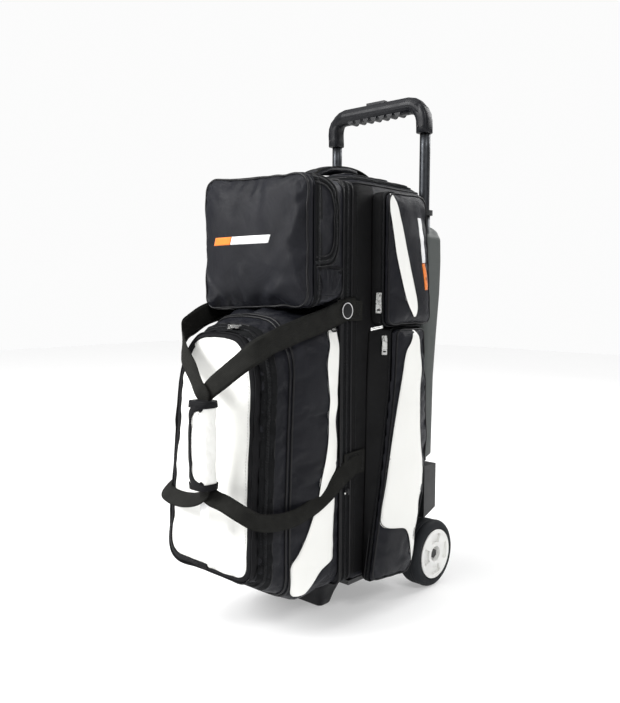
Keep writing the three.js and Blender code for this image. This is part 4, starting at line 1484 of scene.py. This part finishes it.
def foot():
    """The skid under the bag's front, narrowing towards the ground."""
    rings = []
    for z, pull in ((0, 2.5), (1, 1), (3, 0), (20, 0), (38, 0), (54, 0), (56.5, 1)):
        up = min(z / 54, 1) ** 1.3
        half = 49 + 19 * up - pull
        near_y, far_y = -224 - 19 * up + pull, -193 + 20 * up - pull
        ring = outline([(-half, near_y), (half, near_y), (half, far_y), (-half, far_y)], 9, 120)
        rings.append(level(ring, "z", z))
    made = new_object("front_foot_skid", *capped(rings, "z", (0.8, 0.4)), SOFT_BLACK)
    finish_piece(made, "bag", ["front_foot"])


def badge():
    rim = level(circle(1, 64), "x", 0)
    centre = np.array([121.8, -245, 531])
    rings = [centre + rim * radius + [high, 0, 0]
             for radius, high in ((14.5, 0), (14.5, 2.2), (13.5, 2.6), (4, 2.7))]
    finish_piece(new_object("badge_disc", *loft_data(rings), PIPING), "bag")
    ring = cord_piece("badge_ring", centre + rim * 12.8 + [2.6, 0, 0], 0.7, EMBLEM_WHITE, True)
    finish_piece(ring, "bag")


def eyelet():
    turn = np.linspace(0, 2 * math.pi, 40, endpoint=False)
    parts = (("outer", 6.2, 1.8, BLACK_PLASTIC), ("inner", 3.6, 0.8, NICKEL))
    for name, radius, tube, material in parts:
        line = [(OUTSIDE, -262 + radius * math.cos(t), 503 + radius * math.sin(t)) for t in turn]
        places, _ = cast(SHOE_TREE, line, (-1, 0, 0), 1.2)
        finish_piece(cord_piece(f"eyelet_{name}", places, tube, material, True), "bag")


def stud(name, centre, axis, radius, material, body):
    """A small domed rivet or screw head facing one way along X or Y."""
    sign = -1 if axis[0] == "-" else 1
    rings = []
    for share, high in ((1, -0.6), (1, 0.5), (0.85, 1.1), (0.5, 1.5), (0.15, 1.6)):
        rings.append(level(circle(1, 28) * radius * share, axis[1], sign * high) + centre)
    finish_piece(new_object(name, *loft_data(rings), material), body)


def small_parts():
    for side, sign in SIDES:
        stud(f"strap_stud_{side}", (sign * 119.4, -242, 224), "+x" if sign > 0 else "-x", 2.0,
             NICKEL, "bag")
        for n, x in enumerate((102.5, 111.5)):
            stud(f"grip_screw_{side}_{n}", (sign * x, -17.6, 868), "-y", 1.9,
                 BLACK_PLASTIC, "handle")
        tab = [(sign * 142.4, -206, 499.6), (sign * 142.6, -190, 501.4), (sign * 142.4, -172, 503)]
        made = strip(f"lower_pocket_second_pull_{side}", smooth_path(tab, 14),
                     np.tile([sign, 0, 0.0], (14, 1)), 5, 1.3, NICKEL)
        finish_piece(made, "bag")
    label = smooth_path([(47, -486.8, 250), (46, -486.4, 238), (45, -484.8, 226), (44, -482.5, 214)], 16)
    tape("wrap_label", label, np.tile([0, -1.0, 0], (16, 1)), 20, 0.9, False, EMBLEM_WHITE)


def floor():
    size = 6
    plane = bpy.data.meshes.new("floor")
    corners = [(-size, -size, 0), (size, -size, 0), (size, size, 0), (-size, size, 0)]
    plane.from_pydata(corners, [], [(0, 1, 2, 3)])
    made = bpy.data.objects.new("floor", plane)
    paper, shader = principled("paper", (0.66, 0.66, 0.66), 0.9)
    vary_roughness(paper, shader, 0.85, 0.95, 3)
    shader.inputs["Emission Color"].default_value = (1, 1, 1, 1)
    shader.inputs["Emission Strength"].default_value = 0.34
    plane.materials.append(paper)
    scene.collection.objects.link(made)


make_camera()
make_studio()
floor()
BODY = body_cover()
BODY_TREE = surface(BODY)
body_trim()
main_zip()
door_panel()
SHOE = shoe_cover()
SHOE_TREE = surface(SHOE)
shoe_trim()
shoe_flap()
accessory_case()
accessory_flap()
for side, sign in SIDES:
    side_patch(f"door_patch_{side}", SHOE_TREE, DOOR_PATCH_FRONT, DOOR_PATCH_REAR, sign, "bag", 1.6)
    for place in ("upper", "lower"):
        side_pocket(place, side, sign)
        side_flap(place, side, sign)
    box_stitched_patch(f"strap_end_upper_{side}", sign * 119.6, -266, -202, 514, 548, -0.02)
    box_stitched_patch(f"strap_end_lower_{side}", sign * 119.6, -246, -192, 252, 292, 0.05)
carry_strap("carry_strap_right", RIGHT_STRAP)
carry_strap("carry_strap_left", LEFT_STRAP)
grip_wrap()
top_handle()
back_cover()
hard_parts()
foot()
badge()
eyelet()
small_parts()
